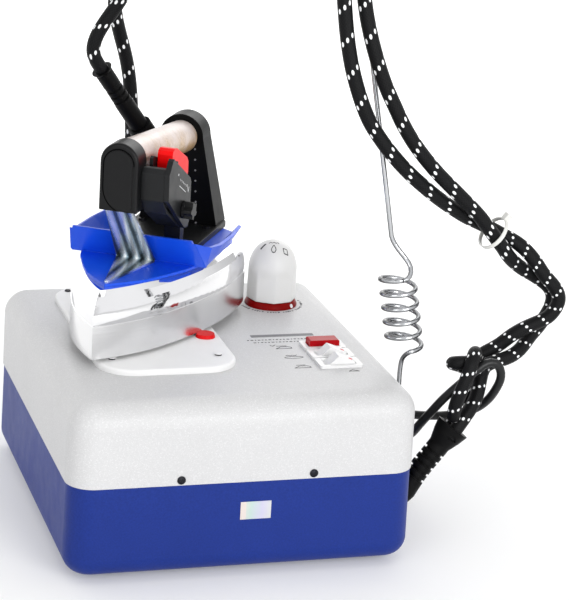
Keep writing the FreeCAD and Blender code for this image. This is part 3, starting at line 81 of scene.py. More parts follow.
def iron(along, right, height):
    """Point in metres, from millimetres behind the tip, to the right and above the sole."""
    return TIP + iron_vector(along / 1000, right / 1000, height / 1000)


# ---------------------------------------------------------------- shader building
INPUTS = {"color": "Base Color", "rough": "Roughness", "metal": "Metallic",
          "coat": "Coat Weight", "coat_rough": "Coat Roughness",
          "spec": "Specular IOR Level",
          "glow_color": "Emission Color", "glow": "Emission Strength"}


class Graph:
    """Short calls for building a shader node tree."""

    def __init__(self, tree):
        self.tree = tree

    def node(self, kind, **settings):
        node = self.tree.nodes.new("ShaderNode" + kind)
        for key, value in settings.items():
            setattr(node, key, value)
        return node

    def feed(self, socket, value):
        """Link a socket, or set a colour or a number."""
        if isinstance(value, bpy.types.NodeSocket):
            self.tree.links.new(value, socket)
        elif isinstance(value, tuple):
            socket.default_value = (*value, 1)
        else:
            socket.default_value = value

    def math(self, operation, *values):
        """Math node; a function of one value has its second input at zero."""
        node = self.node("Math", operation=operation)
        if len(values) == 1:
            values += (0.0,)
        for socket, value in zip(node.inputs, values):
            self.feed(socket, value)
        return node.outputs[0]

    def add(self, a, b):
        return self.math("ADD", a, b)

    def sub(self, a, b):
        return self.math("SUBTRACT", a, b)

    def mul(self, a, b):
        return self.math("MULTIPLY", a, b)

    def spread(self, value, span, low):
        """Map 0..1 to a range that starts at low."""
        return self.add(self.mul(value, span), low)

    def mix(self, factor, a, b, mode="MIX"):
        node = self.node("Mix", data_type="RGBA", blend_type=mode)
        for index, value in ((0, factor), (6, a), (7, b)):
            self.feed(node.inputs[index], value)
        return node.outputs[2]

    def tint(self, base, shade):
        return self.mix(1.0, base, shade, "MULTIPLY")

    def split(self, vector):
        node = self.node("SeparateXYZ")
        self.feed(node.inputs[0], vector)
        return node.outputs


class Mat(Graph):
    """A material with one Principled shader."""

    def __init__(self, name):
        self.material = bpy.data.materials.new(name)
        self.material.use_nodes = True
        super().__init__(self.material.node_tree)
        self.tree.nodes.clear()
        output = self.node("OutputMaterial")
        self.shader = self.node("BsdfPrincipled")
        self.feed(output.inputs[0], self.shader.outputs[0])
        self.coords = self.node("TexCoord")
        self.normal = None

    def set(self, **values):
        for key, value in values.items():
            self.feed(self.shader.inputs[INPUTS[key]], value)

    def space(self, scale=(1, 1, 1), turn=0.0):
        """Object coordinates, stretched and turned about Z."""
        node = self.node("Mapping")
        node.inputs["Scale"].default_value = scale
        node.inputs["Rotation"].default_value = (0, 0, turn)
        self.feed(node.inputs["Vector"], self.coords.outputs["Object"])
        return node.outputs[0]

    def noise(self, scale, detail=3.0, rough=0.55, distortion=0.0, at=None):
        if at is None:
            at = self.space()
        node = self.node("TexNoise")
        node.inputs["Scale"].default_value = scale
        node.inputs["Detail"].default_value = detail
        node.inputs["Roughness"].default_value = rough
        node.inputs["Distortion"].default_value = distortion
        self.feed(node.inputs["Vector"], at)
        return node.outputs["Fac"]

    def voronoi(self, at, scale, output="Distance"):
        node = self.node("TexVoronoi")
        node.inputs["Scale"].default_value = scale
        self.feed(node.inputs["Vector"], at)
        return node.outputs[output]

    def ramp(self, factor, stops):
        """Stops are (position, grey or colour)."""
        node = self.node("ValToRGB")
        elements = node.color_ramp.elements
        while len(elements) < len(stops):
            elements.new(0.5)
        for element, (position, tone) in zip(elements, stops):
            element.position = position
            element.color = (*tone, 1) if isinstance(tone, tuple) else (tone, tone, tone, 1)
        self.feed(node.inputs["Fac"], factor)
        return node.outputs["Color"]

    def use_normal(self, normal):
        self.normal = normal
        self.feed(self.shader.inputs["Normal"], normal)

    def bump(self, height, strength, distance):
        node = self.node("Bump")
        node.inputs["Strength"].default_value = strength
        node.inputs["Distance"].default_value = distance
        self.feed(node.inputs["Height"], height)
        if self.normal is not None:
            self.feed(node.inputs["Normal"], self.normal)
        self.use_normal(node.outputs[0])

    def edge(self, radius):
        """Soften hard edges in the shading."""
        node = self.node("Bevel")
        node.samples = 4
        node.inputs["Radius"].default_value = radius
        self.use_normal(node.outputs[0])

    def wear(self, base, amount, scale):
        """Base colour, darkened in patches by up to the amount."""
        patches = self.noise(scale, detail=4)
        return self.tint(base, self.ramp(patches, [(0.3, 1 - amount), (0.7, 1.0)]))


# ---------------------------------------------------------------- materials
def plastic(name, color, rough, grain, depth, wear, coat, edge, spec):
    mat = Mat(name)
    if edge:
        mat.edge(edge)
    mat.set(color=mat.wear(color, amount=wear, scale=25), coat=coat, spec=spec)
    mat.set(rough=mat.spread(mat.noise(90, detail=5), span=0.16, low=rough - 0.08))
    mat.bump(mat.noise(grain, detail=2), strength=depth, distance=0.0006)
    return mat.material


def metal(name, color, rough, brushed=None):
    mat = Mat(name)
    mat.set(color=mat.wear(color, amount=0.05, scale=40), metal=1.0)
    smear = mat.noise(30, detail=6, rough=0.65)
    mat.set(rough=mat.spread(smear, span=0.12, low=max(0.02, rough - 0.06)))
    if brushed:
        mat.bump(mat.noise(1.0, at=mat.space(brushed)), strength=0.12, distance=0.0004)
    else:
        mat.bump(mat.noise(55), strength=0.03, distance=0.0008)
    return mat.material


def cover_material():
    """Grey with fine sparkling cells."""
    mat = Mat("cover_grey")
    cell_scale = 1500
    at = mat.space()
    split = mat.node("SeparateColor")
    mat.feed(split.inputs[0], mat.voronoi(at, cell_scale, output="Color"))
    spark = mat.ramp(split.outputs[0], [(0.0, 0.93), (0.55, 0.97), (0.86, 1.0), (0.97, 1.10)])
    base = mat.wear((0.60, 0.60, 0.605), amount=0.04, scale=10)
    mat.set(color=mat.tint(base, spark), spec=0.3,
            rough=mat.spread(split.outputs[1], span=0.2, low=0.32))
    mat.bump(mat.voronoi(at, cell_scale), strength=0.10, distance=0.0004)
    return mat.material


def tray_material():
    mat = Mat("tray_navy")
    at = mat.space()
    base = mat.wear((0.010, 0.030, 0.215), amount=0.10, scale=14)
    speckle = mat.ramp(mat.noise(700, detail=2, at=at), [(0.3, 0.9), (0.7, 1.1)])
    mat.set(color=mat.tint(base, speckle), spec=0.16,
            rough=mat.spread(mat.noise(60, detail=5, at=at), span=0.18, low=0.34))
    mat.bump(mat.noise(900, detail=2, at=at), strength=0.12, distance=0.0005)
    return mat.material


def cork_material():
    """Cork under a clear shrink film: golden grain that shows through milky, glossy patches."""
    mat = Mat("cork_filmed")
    at = mat.space()
    grain = mat.noise(420, detail=6, rough=0.7, at=at)
    golden = mat.ramp(grain, [(0.28, (0.22, 0.12, 0.050)), (0.45, (0.44, 0.27, 0.12)),
                              (0.62, (0.58, 0.39, 0.20)), (0.8, (0.66, 0.49, 0.29))])
    pores = mat.ramp(mat.voronoi(at, scale=480), [(0.04, 0.45), (0.15, 1.0)])
    cork = mat.tint(golden, pores)
    # milky film: soft patches broken by small creases, and a painted top light that makes the film
    # paler where the surface faces up
    patch = mat.noise(34, detail=3, rough=0.45, distortion=0.8, at=at)
    crease = mat.noise(210, detail=2, rough=0.5, distortion=1.4, at=at)
    normal = mat.split(mat.node("NewGeometry").outputs["Normal"])
    painted_top_light = mat.mul(normal[2], 0.34)
    cover = mat.add(mat.add(patch, mat.mul(crease, 0.22)), painted_top_light)
    film = mat.ramp(cover, [(0.50, 0.03), (0.70, 0.55), (0.92, 0.86)])
    mat.set(color=mat.mix(film, cork, (0.66, 0.585, 0.575)),
            rough=mat.spread(grain, span=0.2, low=0.28), coat=0.35, coat_rough=0.12, spec=0.3)
    mat.bump(crease, strength=0.22, distance=0.0010)
    mat.bump(grain, strength=0.20, distance=0.0006)
    return mat.material


DRAWN_PITCH = 26.0       # mm of hose to one turn of the marker yarn
BUNCHED_PITCH = 15.5     # the same where the sleeve is bunched up


def braid_material():
    """Braided sleeve; UV x runs once round the hose and y counts turns of the marker yarn."""
    mat = Mat("braid_black")
    around, turns, _ = mat.split(mat.coords.outputs["UV"])
    yarns_round, yarns_per_turn = 16.0, 8.0
    cord_count = 7.0
    stitches, stitch_pitch = 8.0, 4.7                     # round the hose; pitch in mm
    stitch_half_width, stitch_half_length = 1.25, 2.25    # mm
    stitch_lean = -0.6

    def centred(value):
        return mat.sub(mat.math("FRACT", value), 0.5)

    def yarn(sign):
        slant = mat.add(mat.mul(around, yarns_round), mat.mul(turns, sign * yarns_per_turn))
        return mat.math("ABSOLUTE", centred(slant))

    weave = mat.math("MAXIMUM", yarn(1), yarn(-1))
    # painted light and shade on the weave: the yarn crowns are painted lighter and the gaps
    # between the yarns darker
    shade = mat.ramp(weave, [(0.18, 0.55), (0.5, 1.3)])
    base = mat.tint((0.0042, 0.0044, 0.0050), shade)
    # lengthwise cords under the sleeve show as faint lines
    cords = mat.math("ABSOLUTE", centred(mat.mul(around, cord_count)))
    # marker yarn: white oval stitches on one helix, each leaning a little along the hose
    length = mat.mul(centred(mat.sub(around, turns)), DRAWN_PITCH)
    width = mat.mul(centred(mat.mul(around, stitches)), stitch_pitch)
    oval_x = mat.mul(width, 1 / stitch_half_width)
    oval_y = mat.mul(mat.add(length, mat.mul(width, stitch_lean)), 1 / stitch_half_length)
    oval = mat.add(mat.mul(oval_x, oval_x), mat.mul(oval_y, oval_y))
    white = mat.ramp(oval, [(0.72, 1.0), (1.0, 0.0)])
    mat.set(color=mat.mix(white, base, (0.88, 0.89, 0.90)), rough=0.5, spec=0.14)
    relief = mat.add(mat.mul(weave, 1.0), mat.mul(cords, 0.9))
    mat.bump(relief, strength=0.55, distance=0.0006)
    return mat.material


def strap_material():
    """Chrome with ribs spaced across the iron, their light and dark reflections painted into the
    colour as bands and streaks.
    """
    mat = Mat("strap_chrome")
    rib_pitch = 0.0105
    place = mat.split(mat.space(turn=-YAW))
    ribs = mat.math("SINE", mat.mul(place[1], 2 * math.pi / rib_pitch))
    # painted reflections: the ribs' light and dark reflections are painted into the colour as
    # bands, dark in the troughs and near white on the crests
    painted_rib_reflections = mat.ramp(mat.spread(ribs, span=0.5, low=0.5),
                     [(0.08, (0.10, 0.13, 0.15)), (0.35, (0.42, 0.52, 0.58)),
                      (0.75, (0.74, 0.82, 0.86)), (0.97, (0.97, 0.99, 1.0))])
    # painted reflection streaks: stretched noise lightens and darkens the painted bands
    painted_reflection_streaks = mat.ramp(mat.noise(1.0, at=mat.space((40, 40, 9))), [(0.3, 0.72), (0.7, 1.15)])
    mat.set(color=mat.tint(painted_rib_reflections, painted_reflection_streaks), metal=0.72, rough=0.22)
    mat.bump(ribs, strength=0.16, distance=0.0010)
    mat.bump(mat.noise(25, detail=2), strength=0.05, distance=0.0015)
    return mat.material


def rod_material():
    """Plated wire, with painted shade: its colour is left bright along its middle as seen and
    darkened towards both edges.
    """
    mat = Mat("rod_wire")
    layer = mat.node("LayerWeight")
    layer.inputs["Blend"].default_value = 0.5
    # painted shade: the facing ramp darkens the colour where the wire turns away from the camera,
    # leaving a painted highlight along its middle
    tone = mat.ramp(layer.outputs["Facing"],
                    [(0.10, 0.62), (0.38, 0.34), (0.62, 0.10), (0.85, 0.05)])
    base = mat.wear((0.92, 0.94, 0.97), amount=0.10, scale=60)
    mat.set(color=mat.tint(base, tone), metal=1.0)
    mat.set(rough=mat.spread(mat.noise(60, detail=4), span=0.10, low=0.10))
    mat.bump(mat.noise(90), strength=0.04, distance=0.0006)
    return mat.material


def chrome_material():
    mat = Mat("shell_chrome")
    at = mat.space()
    mat.set(color=mat.wear((0.86, 0.86, 0.87), amount=0.05, scale=18), metal=1.0)
    mat.set(rough=mat.spread(mat.noise(70, detail=6, rough=0.7, at=at), span=0.05, low=0.03))
    mat.bump(mat.noise(20, detail=2, at=at), strength=0.06, distance=0.004)
    return mat.material


def badge_material():
    """Foil whose pale tints repeat along x."""
    mat = Mat("badge_foil")
    place = mat.split(mat.coords.outputs["Object"])
    band = mat.math("FRACT", mat.mul(place[0], 26.0))
    wavy = mat.add(band, mat.mul(mat.noise(60, detail=2), 0.3))
    tints = mat.ramp(wavy, [(0.0, (0.72, 0.66, 0.62)), (0.3, (0.52, 0.66, 0.62)),
                            (0.55, (0.60, 0.58, 0.74)), (0.8, (0.70, 0.72, 0.62)),
                            (1.0, (0.74, 0.66, 0.62))])
    mat.set(color=tints, metal=0.55, rough=0.30, coat=0.6, coat_rough=0.12)
    mat.bump(mat.noise(900, detail=2), strength=0.1, distance=0.0003)
    return mat.material


# key: name, colour, roughness, grain scale, grain depth, wear, coat, edge radius (m), specular
PLASTICS = {
    "foot": ("foot_rubber", (0.02, 0.02, 0.02), 0.75, 600, 0.2, 0.08, 0, 0, 0.5),
    "blanket": ("glass_blanket", (0.62, 0.60, 0.52), 0.9, 260, 0.8, 0.08, 0, 0, 0.5),
    "coil": ("coil_black", (0.03, 0.03, 0.035), 0.5, 500, 0.08, 0.08, 0, 0, 0.5),
    "red": ("red_gloss", (0.88, 0.002, 0.003), 0.34, 500, 0.05, 0.06, 0, 0.0007, 0.10),
    "ringred": ("ring_red", (0.205, 0.0005, 0.0005), 0.34, 500, 0.05, 0.08, 0, 0.0007, 0.08),
    "rockred": ("rocker_red", (0.40, 0.002, 0.006), 0.30, 500, 0.05, 0.06, 0, 0.0006, 0.12),
    "cap": ("cap_white", (0.70, 0.70, 0.695), 0.36, 700, 0.06, 0.04, 0, 0.0009, 0.35),
    "seal": ("seal_silicone", (0.35, 0.06, 0.03), 0.6, 500, 0.08, 0.08, 0, 0, 0.5),
    "white": ("switch_white", (0.80, 0.80, 0.80), 0.32, 600, 0.05, 0.04, 0.1, 0.0006, 0.4),
    "pad": ("pad_white", (0.82, 0.82, 0.82), 0.45, 800, 0.10, 0.04, 0, 0.0008, 0.3),
    "bumper": ("bumper_red", (0.66, 0.006, 0.008), 0.4, 500, 0.08, 0.08, 0, 0.0006, 0.12),
    "blue": ("shield_blue", (0.006, 0.078, 0.70), 0.34, 700, 0.06, 0.06, 0, 0.0010, 0.28),
    "black": ("handle_black", (0.0050, 0.0052, 0.0058), 0.38, 700, 0.09, 0.10, 0, 0.0009, 0.20),
    "boxblack": ("box_black", (0.009, 0.0095, 0.0105), 0.42, 700, 0.10, 0.10, 0, 0.0012, 0.22),
    "postback": ("post_black", (0.0025, 0.0025, 0.0028), 0.36, 700, 0.08, 0.10, 0, 0.0009, 0.08),
    "rubber": ("moulded_rubber", (0.0028, 0.0028, 0.0030), 0.45, 600, 0.10, 0.12, 0, 0.0006, 0.10),
    "mains": ("mains_dark", (0.009, 0.0095, 0.010), 0.36, 500, 0.08, 0.1, 0, 0, 0.30),
    "clip": ("clip_black", (0.02, 0.02, 0.022), 0.4, 600, 0.1, 0.1, 0, 0.0006, 0.5),
    "tie": ("tie_nylon", (0.70, 0.70, 0.67), 0.35, 500, 0.05, 0.08, 0, 0, 0.5),
    "mark": ("print_dark", (0.05, 0.05, 0.055), 0.5, 500, 0.05, 0.1, 0, 0, 0.2),
    "markwhite": ("print_white", (0.75, 0.75, 0.76), 0.5, 500, 0.08, 0.08, 0, 0, 0.5),
    "greymark": ("print_grey", (0.20, 0.20, 0.21), 0.5, 500, 0.05, 0.1, 0, 0, 0.2),
    "groove": ("groove_black", (0.0012, 0.0012, 0.0014), 0.6, 500, 0.05, 0.1, 0, 0, 0.02),
    "dotred": ("dot_red", (0.62, 0.012, 0.02), 0.35, 500, 0.08, 0.08, 0, 0, 0.5),
}

# key: name, colour, roughness, and for brushed metal the stretch of its grain along x, y, z
METALS = {
    "screw": ("screw_black", (0.03, 0.03, 0.035), 0.4),
    "tank": ("tank_steel", (0.56, 0.56, 0.58), 0.28, (300, 8, 300)),
    "brass": ("brass_machined", (0.72, 0.50, 0.20), 0.25, (20, 20, 500)),
    "zinc": ("zinc_steel", (0.55, 0.55, 0.58), 0.3),
    "spring": ("spring_wire", (0.62, 0.62, 0.64), 0.22),
    "copper": ("copper_pipe", (0.70, 0.36, 0.22), 0.28),
    "sole": ("sole_ground", (0.84, 0.84, 0.845), 0.22, (12, 12, 500)),
    "oxide": ("heater_sheath", (0.22, 0.20, 0.19), 0.5),
    "chamber": ("chamber_plate", (0.60, 0.61, 0.62), 0.35),
    "can": ("plated_can", (0.45, 0.45, 0.47), 0.35),
}

LOOKS = {
    **{key: plastic(*row) for key, row in PLASTICS.items()},
    **{key: metal(*row) for key, row in METALS.items()},
    "cover": cover_material(),
    "tray": tray_material(),
    "chrome": chrome_material(),
    "strap": strap_material(),
    "cork": cork_material(),
    "rod": rod_material(),
    "braid": braid_material(),
    "badge": badge_material(),
}

# look: the pieces that wear it
PIECES = {
    "tray": "base_tray",
    "cover": "top_cover",
    "foot": "rubber_feet",
    "badge": "front_label",
    "tank": "boiler_tank",
    "brass": "boiler_heater steam_valve_body cap_insert",
    "zinc": "heater_bolts grip_nut",
    "blanket": "boiler_insulation",
    "coil": "steam_valve_coil microswitch",
    "spring": "valve_plunger valve_spring cap_spring button_spring",
    "copper": "steam_pipe",
    "ringred": "cap_ring",
    "cap": "safety_cap",
    "seal": "cap_seal",
    "white": "front_rocker middle_rocker switch_housings",
    "rockred": "rear_rocker",
    "pad": "iron_rest_pad",
    "bumper": "rest_bumpers",
    "screw": "housing_screws iron_screws",
    "sole": "sole_plate",
    "oxide": "sole_heater",
    "chamber": "steam_chamber_cover",
    "chrome": "chrome_shell",
    "blue": "heat_shield",
    "black": "handle_base front_post temperature_knob thermostat_column",
    "strap": "front_strap",
    "postback": "rear_post",
    "rubber": "cable_collar iron_cable_boot steam_inlet base_cable_boot mains_plug",
    "cork": "cork_grip",
    "rod": "grip_core_rod rod_coil hose_rod",
    "boxblack": "switch_box switch_box_cover",
    "red": "steam_button",
    "can": "thermostat_body",
    "clip": "rod_socket hose_clip",
    "braid": "iron_cable steam_hose",
    "tie": "hose_tie",
    "mains": "mains_cable",
}
LOOK_OF = {piece: look for look, pieces in PIECES.items() for piece in pieces.split()}
for piece_name, piece in NODES.items():
    piece.data.materials.clear()
    piece.data.materials.append(LOOKS[LOOK_OF[piece_name]])


# ---------------------------------------------------------------- meshes and curves
def new_mesh(name, verts, faces, look, smooth=True, uvs=None):
    """Mesh object with one material; uvs are given per vertex."""
    mesh = bpy.data.meshes.new(name)
    mesh.from_pydata([tuple(vert) for vert in verts], [], faces)
    mesh.materials.append(look)
    if uvs is not None:
        layer = mesh.uv_layers.new(name="UVMap")
        for loop in mesh.loops:
            layer.data[loop.index].uv = uvs[loop.vertex_index]
    mesh.update()
    ob = bpy.data.objects.new(name, mesh)
    bpy.context.scene.collection.objects.link(ob)
    if smooth:
        for face in mesh.polygons:
            face.use_smooth = True
    return ob


def attach(ob, body):
    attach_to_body(ob, body)


def between(a, b, start, end, t):
    """The point at t on the line that passes a at start and b at end."""
    return a * ((end - t) / (end - start)) + b * ((t - start) / (end - start))


def catmull(points, per):
    """Centripetal Catmull-Rom curve through the points, with per steps to a span."""
    points = [points[0] * 2 - points[1]] + points + [points[-1] * 2 - points[-2]]
    out = []
    for four in zip(points, points[1:], points[2:], points[3:]):
        knots = [0.0]
        for a, b in zip(four, four[1:]):
            knots.append(knots[-1] + max((b - a).length ** 0.5, 1e-6))
        for k in range(per):
            t = knots[1] + (knots[2] - knots[1]) * k / per
            lines = [between(four[i], four[i + 1], knots[i], knots[i + 1], t) for i in range(3)]
            bends = [between(lines[i], lines[i + 1], knots[i], knots[i + 2], t) for i in range(2)]
            out.append(between(*bends, knots[1], knots[2], t))
    out.append(points[-2].copy())
    return out


def resample(path, step):
    """Evenly spaced points along a polyline."""
    marks = [0.0]
    for a, b in zip(path, path[1:]):
        marks.append(marks[-1] + (b - a).length)
    count = max(4, int(marks[-1] / step))
    out = []
    j = 0
    for k in range(count + 1):
        distance = marks[-1] * k / count
        while j < len(marks) - 2 and marks[j + 1] < distance:
            j += 1
        part = (distance - marks[j]) / max(marks[j + 1] - marks[j], 1e-9)
        out.append(path[j].lerp(path[j + 1], min(max(part, 0), 1)))
    return out


def natural_spline(points):
    """Natural cubic spline by chord length: a function for point and tangent, and the knots."""
    places = np.array([tuple(point) for point in points], float)
    spans = np.linalg.norm(np.diff(places, axis=0), axis=1)
    knots = np.concatenate([[0.0], np.cumsum(spans)])
    count = len(places)
    system = np.zeros((count, count))
    known = np.zeros((count, 3))
    system[0, 0] = system[-1, -1] = 1.0
    for i in range(1, count - 1):
        before, after = spans[i - 1], spans[i]
        system[i, i - 1:i + 2] = before, 2 * (before + after), after
        known[i] = 6 * ((places[i + 1] - places[i]) / after
                        - (places[i] - places[i - 1]) / before)
    bend = np.linalg.solve(system, known)

    def at(distance):
        i = int(min(max(np.searchsorted(knots, distance) - 1, 0), count - 2))
        left, gone, span = knots[i + 1] - distance, distance - knots[i], spans[i]
        point = ((bend[i] * left ** 3 + bend[i + 1] * gone ** 3) / (6 * span)
                 + (places[i] / span - bend[i] * span / 6) * left
                 + (places[i + 1] / span - bend[i + 1] * span / 6) * gone)
        tangent = ((-bend[i] * left ** 2 + bend[i + 1] * gone ** 2) / (2 * span)
                   + (places[i + 1] - places[i]) / span - (bend[i + 1] - bend[i]) * span / 6)
        return Vector(point), Vector(tangent).normalized()
    return at, knots


def spline_path(points, step):
    """Points on the spline in metres, from points and step in millimetres."""
    at, knots = natural_spline(points)
    count = max(6, int(knots[-1] / step))
    return [at(knots[-1] * k / count)[0] / 1000 for k in range(count + 1)]


def lengths(path, first=0.0, pitch_at=lambda point: 1.0):
    """Running count along a path in metres, in units of the local pitch in millimetres."""
    out = [first]
    for a, b in zip(path, path[1:]):
        out.append(out[-1] + (b - a).length * 1000 / pitch_at((a + b) / 2))
    return out


def tube(name, path, radius, look, sides, marks, caps=True):
    """Round tube; UV x runs once round and UV y takes the path's marks."""
    verts, uvs, faces = [], [], []
    side = Vector((0.31, 0.9, 0.21))
    last = len(path) - 1
    for i, point in enumerate(path):
        tangent = (path[min(i + 1, last)] - path[max(i - 1, 0)]).normalized()
        side = (side - tangent * side.dot(tangent)).normalized()
        over = tangent.cross(side)
        for k in range(sides + 1):
            angle = 2 * math.pi * k / sides
            verts.append(point + (side * math.cos(angle) + over * math.sin(angle)) * radius)
            uvs.append((k / sides, marks[i]))
    row = sides + 1
    for i in range(last):
        for k in range(sides):
            a = i * row + k
            faces.append((a, a + 1, a + row + 1, a + row))
    if caps:
        for i, flip in ((0, True), (last, False)):
            centre = len(verts)
            verts.append(path[i])
            uvs.append((0.5, marks[i]))
            for k in range(sides):
                triangle = (centre, i * row + k, i * row + k + 1)
                faces.append(triangle[::-1] if flip else triangle)
    return new_mesh(name, verts, faces, look, uvs=uvs)


# ---------------------------------------------------------------- braided hoses (mm)
HOSE_RADIUS = 0.006                           # m
SLACK_RADIUS = 0.0058                         # m
HOSE_SIDES = 24
HOSE_STEP, SLACK_STEP = 1.6, 1.2
STRAND_STEPS = 66
ARCH_Z, ARCH_X = 0.560, 0.1                   # m: the arch is above this, left of this at first

LIP = Vector((0.190, -0.110, 0.097)) * 1000   # where the hoses leave the base
LIP_DIRECTION = Vector((14, 0, 19)).normalized()
# along the lip's direction, shift to the back, half spacing of the hoses
LIP_STATIONS = [(-4.0, 0.0, 6.4), (5.5, 0.0, 6.4), (15.0, 1.2, 6.5)]

# x, y, z of the bundle's middle, half spacing of the hoses, angle of the spacing in degrees
ROUTE = [
    (214, -98, 130, 6.8, 0), (222, -90, 150, 6.9, 10), (240, -88, 158, 7.0, 35),
    (262, -84, 172, 7.0, 110), (282, -80, 186, 7.0, 160), (288, -80, 203, 7.0, 180),
    (272, -80, 222, 7.0, 200), (252, -80, 240, 7.0, 262), (236, -81, 253, 7.0, 320),
    (202, -86, 279, 7.0, 395), (164, -94, 309, 7.6, 440), (136, -99, 336, 9.6, 450),
    (111.5, -101, 370, 12.0, 450), (93.5, -101, 412, 10.6, 450), (84.5, -99, 450, 8.6, 450),
    (79, -97, 500, 7.3, 450), (77.6, -96, 540, 7.2, 450), (77.6, -96, 576, 7.2, 450)]

# the cable's end on the iron leans away from a root point, given in the iron's frame
CABLE_ROOT = Vector((205, -30, 140))
CABLE_LEAN = Vector((-20, -14.8, 32)).normalized()
CABLE_REACH = 79.2
CABLE_END = iron(*(CABLE_ROOT + CABLE_LEAN * CABLE_REACH)) * 1000
CABLE_UP = iron_vector(*CABLE_LEAN)
INLET = iron(216, -46, 73.2) * 1000

# x, y, z of each hose from the arch to the iron
CABLE_TAIL = [
    (66, -90, 602), (44, -58, 618), (10, -12, 597), (-22, 34, 540), (-46, 66, 478),
    (-64, 90, 420), CABLE_END + Vector((-7.4, -2.2, 12)), CABLE_END, CABLE_END - CABLE_UP * 12]
STEAM_TAIL = [
    (82, -95, 604), (62, -80, 629), (26, -42, 633), (-12, 2, 602), (-40, 48, 546),
    (-58, 92, 474), (-60, 117, 412), (-45, 131, 364), (-37.0, 135.5, 310),
    INLET + Vector((0, 0, 9)), INLET]


def strand(sign, tail):
    """Points of one hose: beside the bundle's route, then down its own tail."""
    stations = []
    for distance, backward, spacing in LIP_STATIONS:
        point = LIP + LIP_DIRECTION * distance
        stations.append((point.x, LIP.y + backward, point.z, spacing, 0))
    stations += ROUTE
    at, marks = natural_spline([station[:3] for station in stations])
    points = []
    i = 0
    for k in range(STRAND_STEPS + 1):
        distance = marks[-1] * k / STRAND_STEPS
        while i < len(marks) - 2 and marks[i + 1] < distance:
            i += 1
        part = (distance - marks[i]) / (marks[i + 1] - marks[i])
        spacing, angle = (stations[i][column]
                          + (stations[i + 1][column] - stations[i][column]) * part
                          for column in (3, 4))
        angle = math.radians(angle)
        point, tangent = at(distance)
        side = (Vector((0, 1, 0)) - tangent * tangent.y).normalized()
        over = tangent.cross(side)
        offset = side * math.cos(angle) + over * math.sin(angle)
        points.append(point + offset * (sign * spacing))
    return points + [Vector(point) for point in tail]


def hose_pitch(point):
    """The sleeve is bunched up low on the route and drawn out above."""
    bunched = (point.x > 0.24 and point.z < 0.262) or (point.z < 0.18 and point.x > 0.15)
    return BUNCHED_PITCH if bunched else DRAWN_PITCH


def hose(name, points, node, first_turn):
    """One hose in three parts: up from the base, over the arch, down to the iron."""
    path = spline_path(points, HOSE_STEP)
    up = next(i for i, p in enumerate(path) if p.z > ARCH_Z and p.x < ARCH_X)
    down = next(i for i, p in enumerate(path) if i > up and p.z < ARCH_Z)
    turns = lengths(path, first_turn, hose_pitch)
    parts = [("lower", 0, up, "housing", "rod"), ("arch", up, down, "rod", "housing"),
             ("drop", down, len(path) - 1, "housing", "iron")]
    for label, a, b, start_body, end_body in parts:
        ob = tube("%s_%s" % (name, label), path[a:b + 1], HOSE_RADIUS, LOOKS["braid"],
                  HOSE_SIDES, turns[a:b + 1], caps=(label != "arch"))
        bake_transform(ob)
        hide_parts(node)


def slack(name, points, first_turn):
    """Folded slack of the braided cable, caught between the two hoses near the lip."""
    path = spline_path(points, SLACK_STEP)
    turns = lengths(path, first_turn, lambda point: BUNCHED_PITCH)
    ob = tube(name, path, SLACK_RADIUS, LOOKS["braid"], HOSE_SIDES, turns)
    attach(ob, "housing")


hose("iron_cable_braid", strand(1, CABLE_TAIL), "iron_cable", first_turn=0.2)
hose("steam_hose_braid", strand(-1, STEAM_TAIL), "steam_hose", first_turn=0.7)
slack("cable_slack_fold", [
    (190, -116, 112), (188, -123, 124), (191, -125, 138), (195.6, -124.5, 150),
    (200, -121, 161), (204.8, -113.5, 166.5), (209.5, -105, 163), (213, -99.5, 154),
    (216, -97, 144)], first_turn=0.1)
slack("cable_slack_stub", [
    (216, -100, 144), (211, -104, 151.5), (204.5, -108.5, 156.4), (197, -112, 158.6),
    (191.6, -112, 158.6), (189.2, -107, 156.6), (192.5, -101, 153.8), (199, -98.5, 151),
    (208, -97.5, 147)], first_turn=0.6)

# ---------------------------------------------------------------- rod coil (m)
ROD_X, ROD_Y = 0.151, -0.084
ROD_RADIUS = 0.002
ROD_FOOT_Z = (0.0974, 0.104, 0.111, 0.118, 0.125, 0.132, 0.145)
COIL_RADIUS = 0.0145
COIL_Z, COIL_PITCH, COIL_TURNS = 0.165, 0.0125, 5
COIL_STEPS = 24                               # to a turn


def rod_coil():
    """Straight foot, then a coil whose middle leans to the left as it rises."""
    points = [Vector((ROD_X, ROD_Y, z)) for z in ROD_FOOT_Z]
    points.append(Vector((ROD_X + 0.0004, ROD_Y - 0.0025, 0.155)))
    for k in range(COIL_TURNS * COIL_STEPS + 1):
        angle = 2 * math.pi * k / COIL_STEPS - math.pi / 2
        z = COIL_Z + COIL_PITCH * k / COIL_STEPS
        middle = 0.1475 - 0.185 * (z - 0.196)
        points.append(Vector((middle + COIL_RADIUS * math.cos(angle),
                              ROD_Y + COIL_RADIUS * math.sin(angle), z)))
    path = resample(catmull(points, per=4), step=0.0011)
    ob = tube("rod_coil_wire", path, ROD_RADIUS, LOOKS["rod"], 12, lengths(path))
    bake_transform(ob)
    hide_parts("rod_coil")


rod_coil()


# ---------------------------------------------------------------- discs and printed lines
PRINT_RAISE, PRINT_SINK = 0.00014, 0.0002     # m above and below the surface
PRINT_STEP = 0.7                              # mm


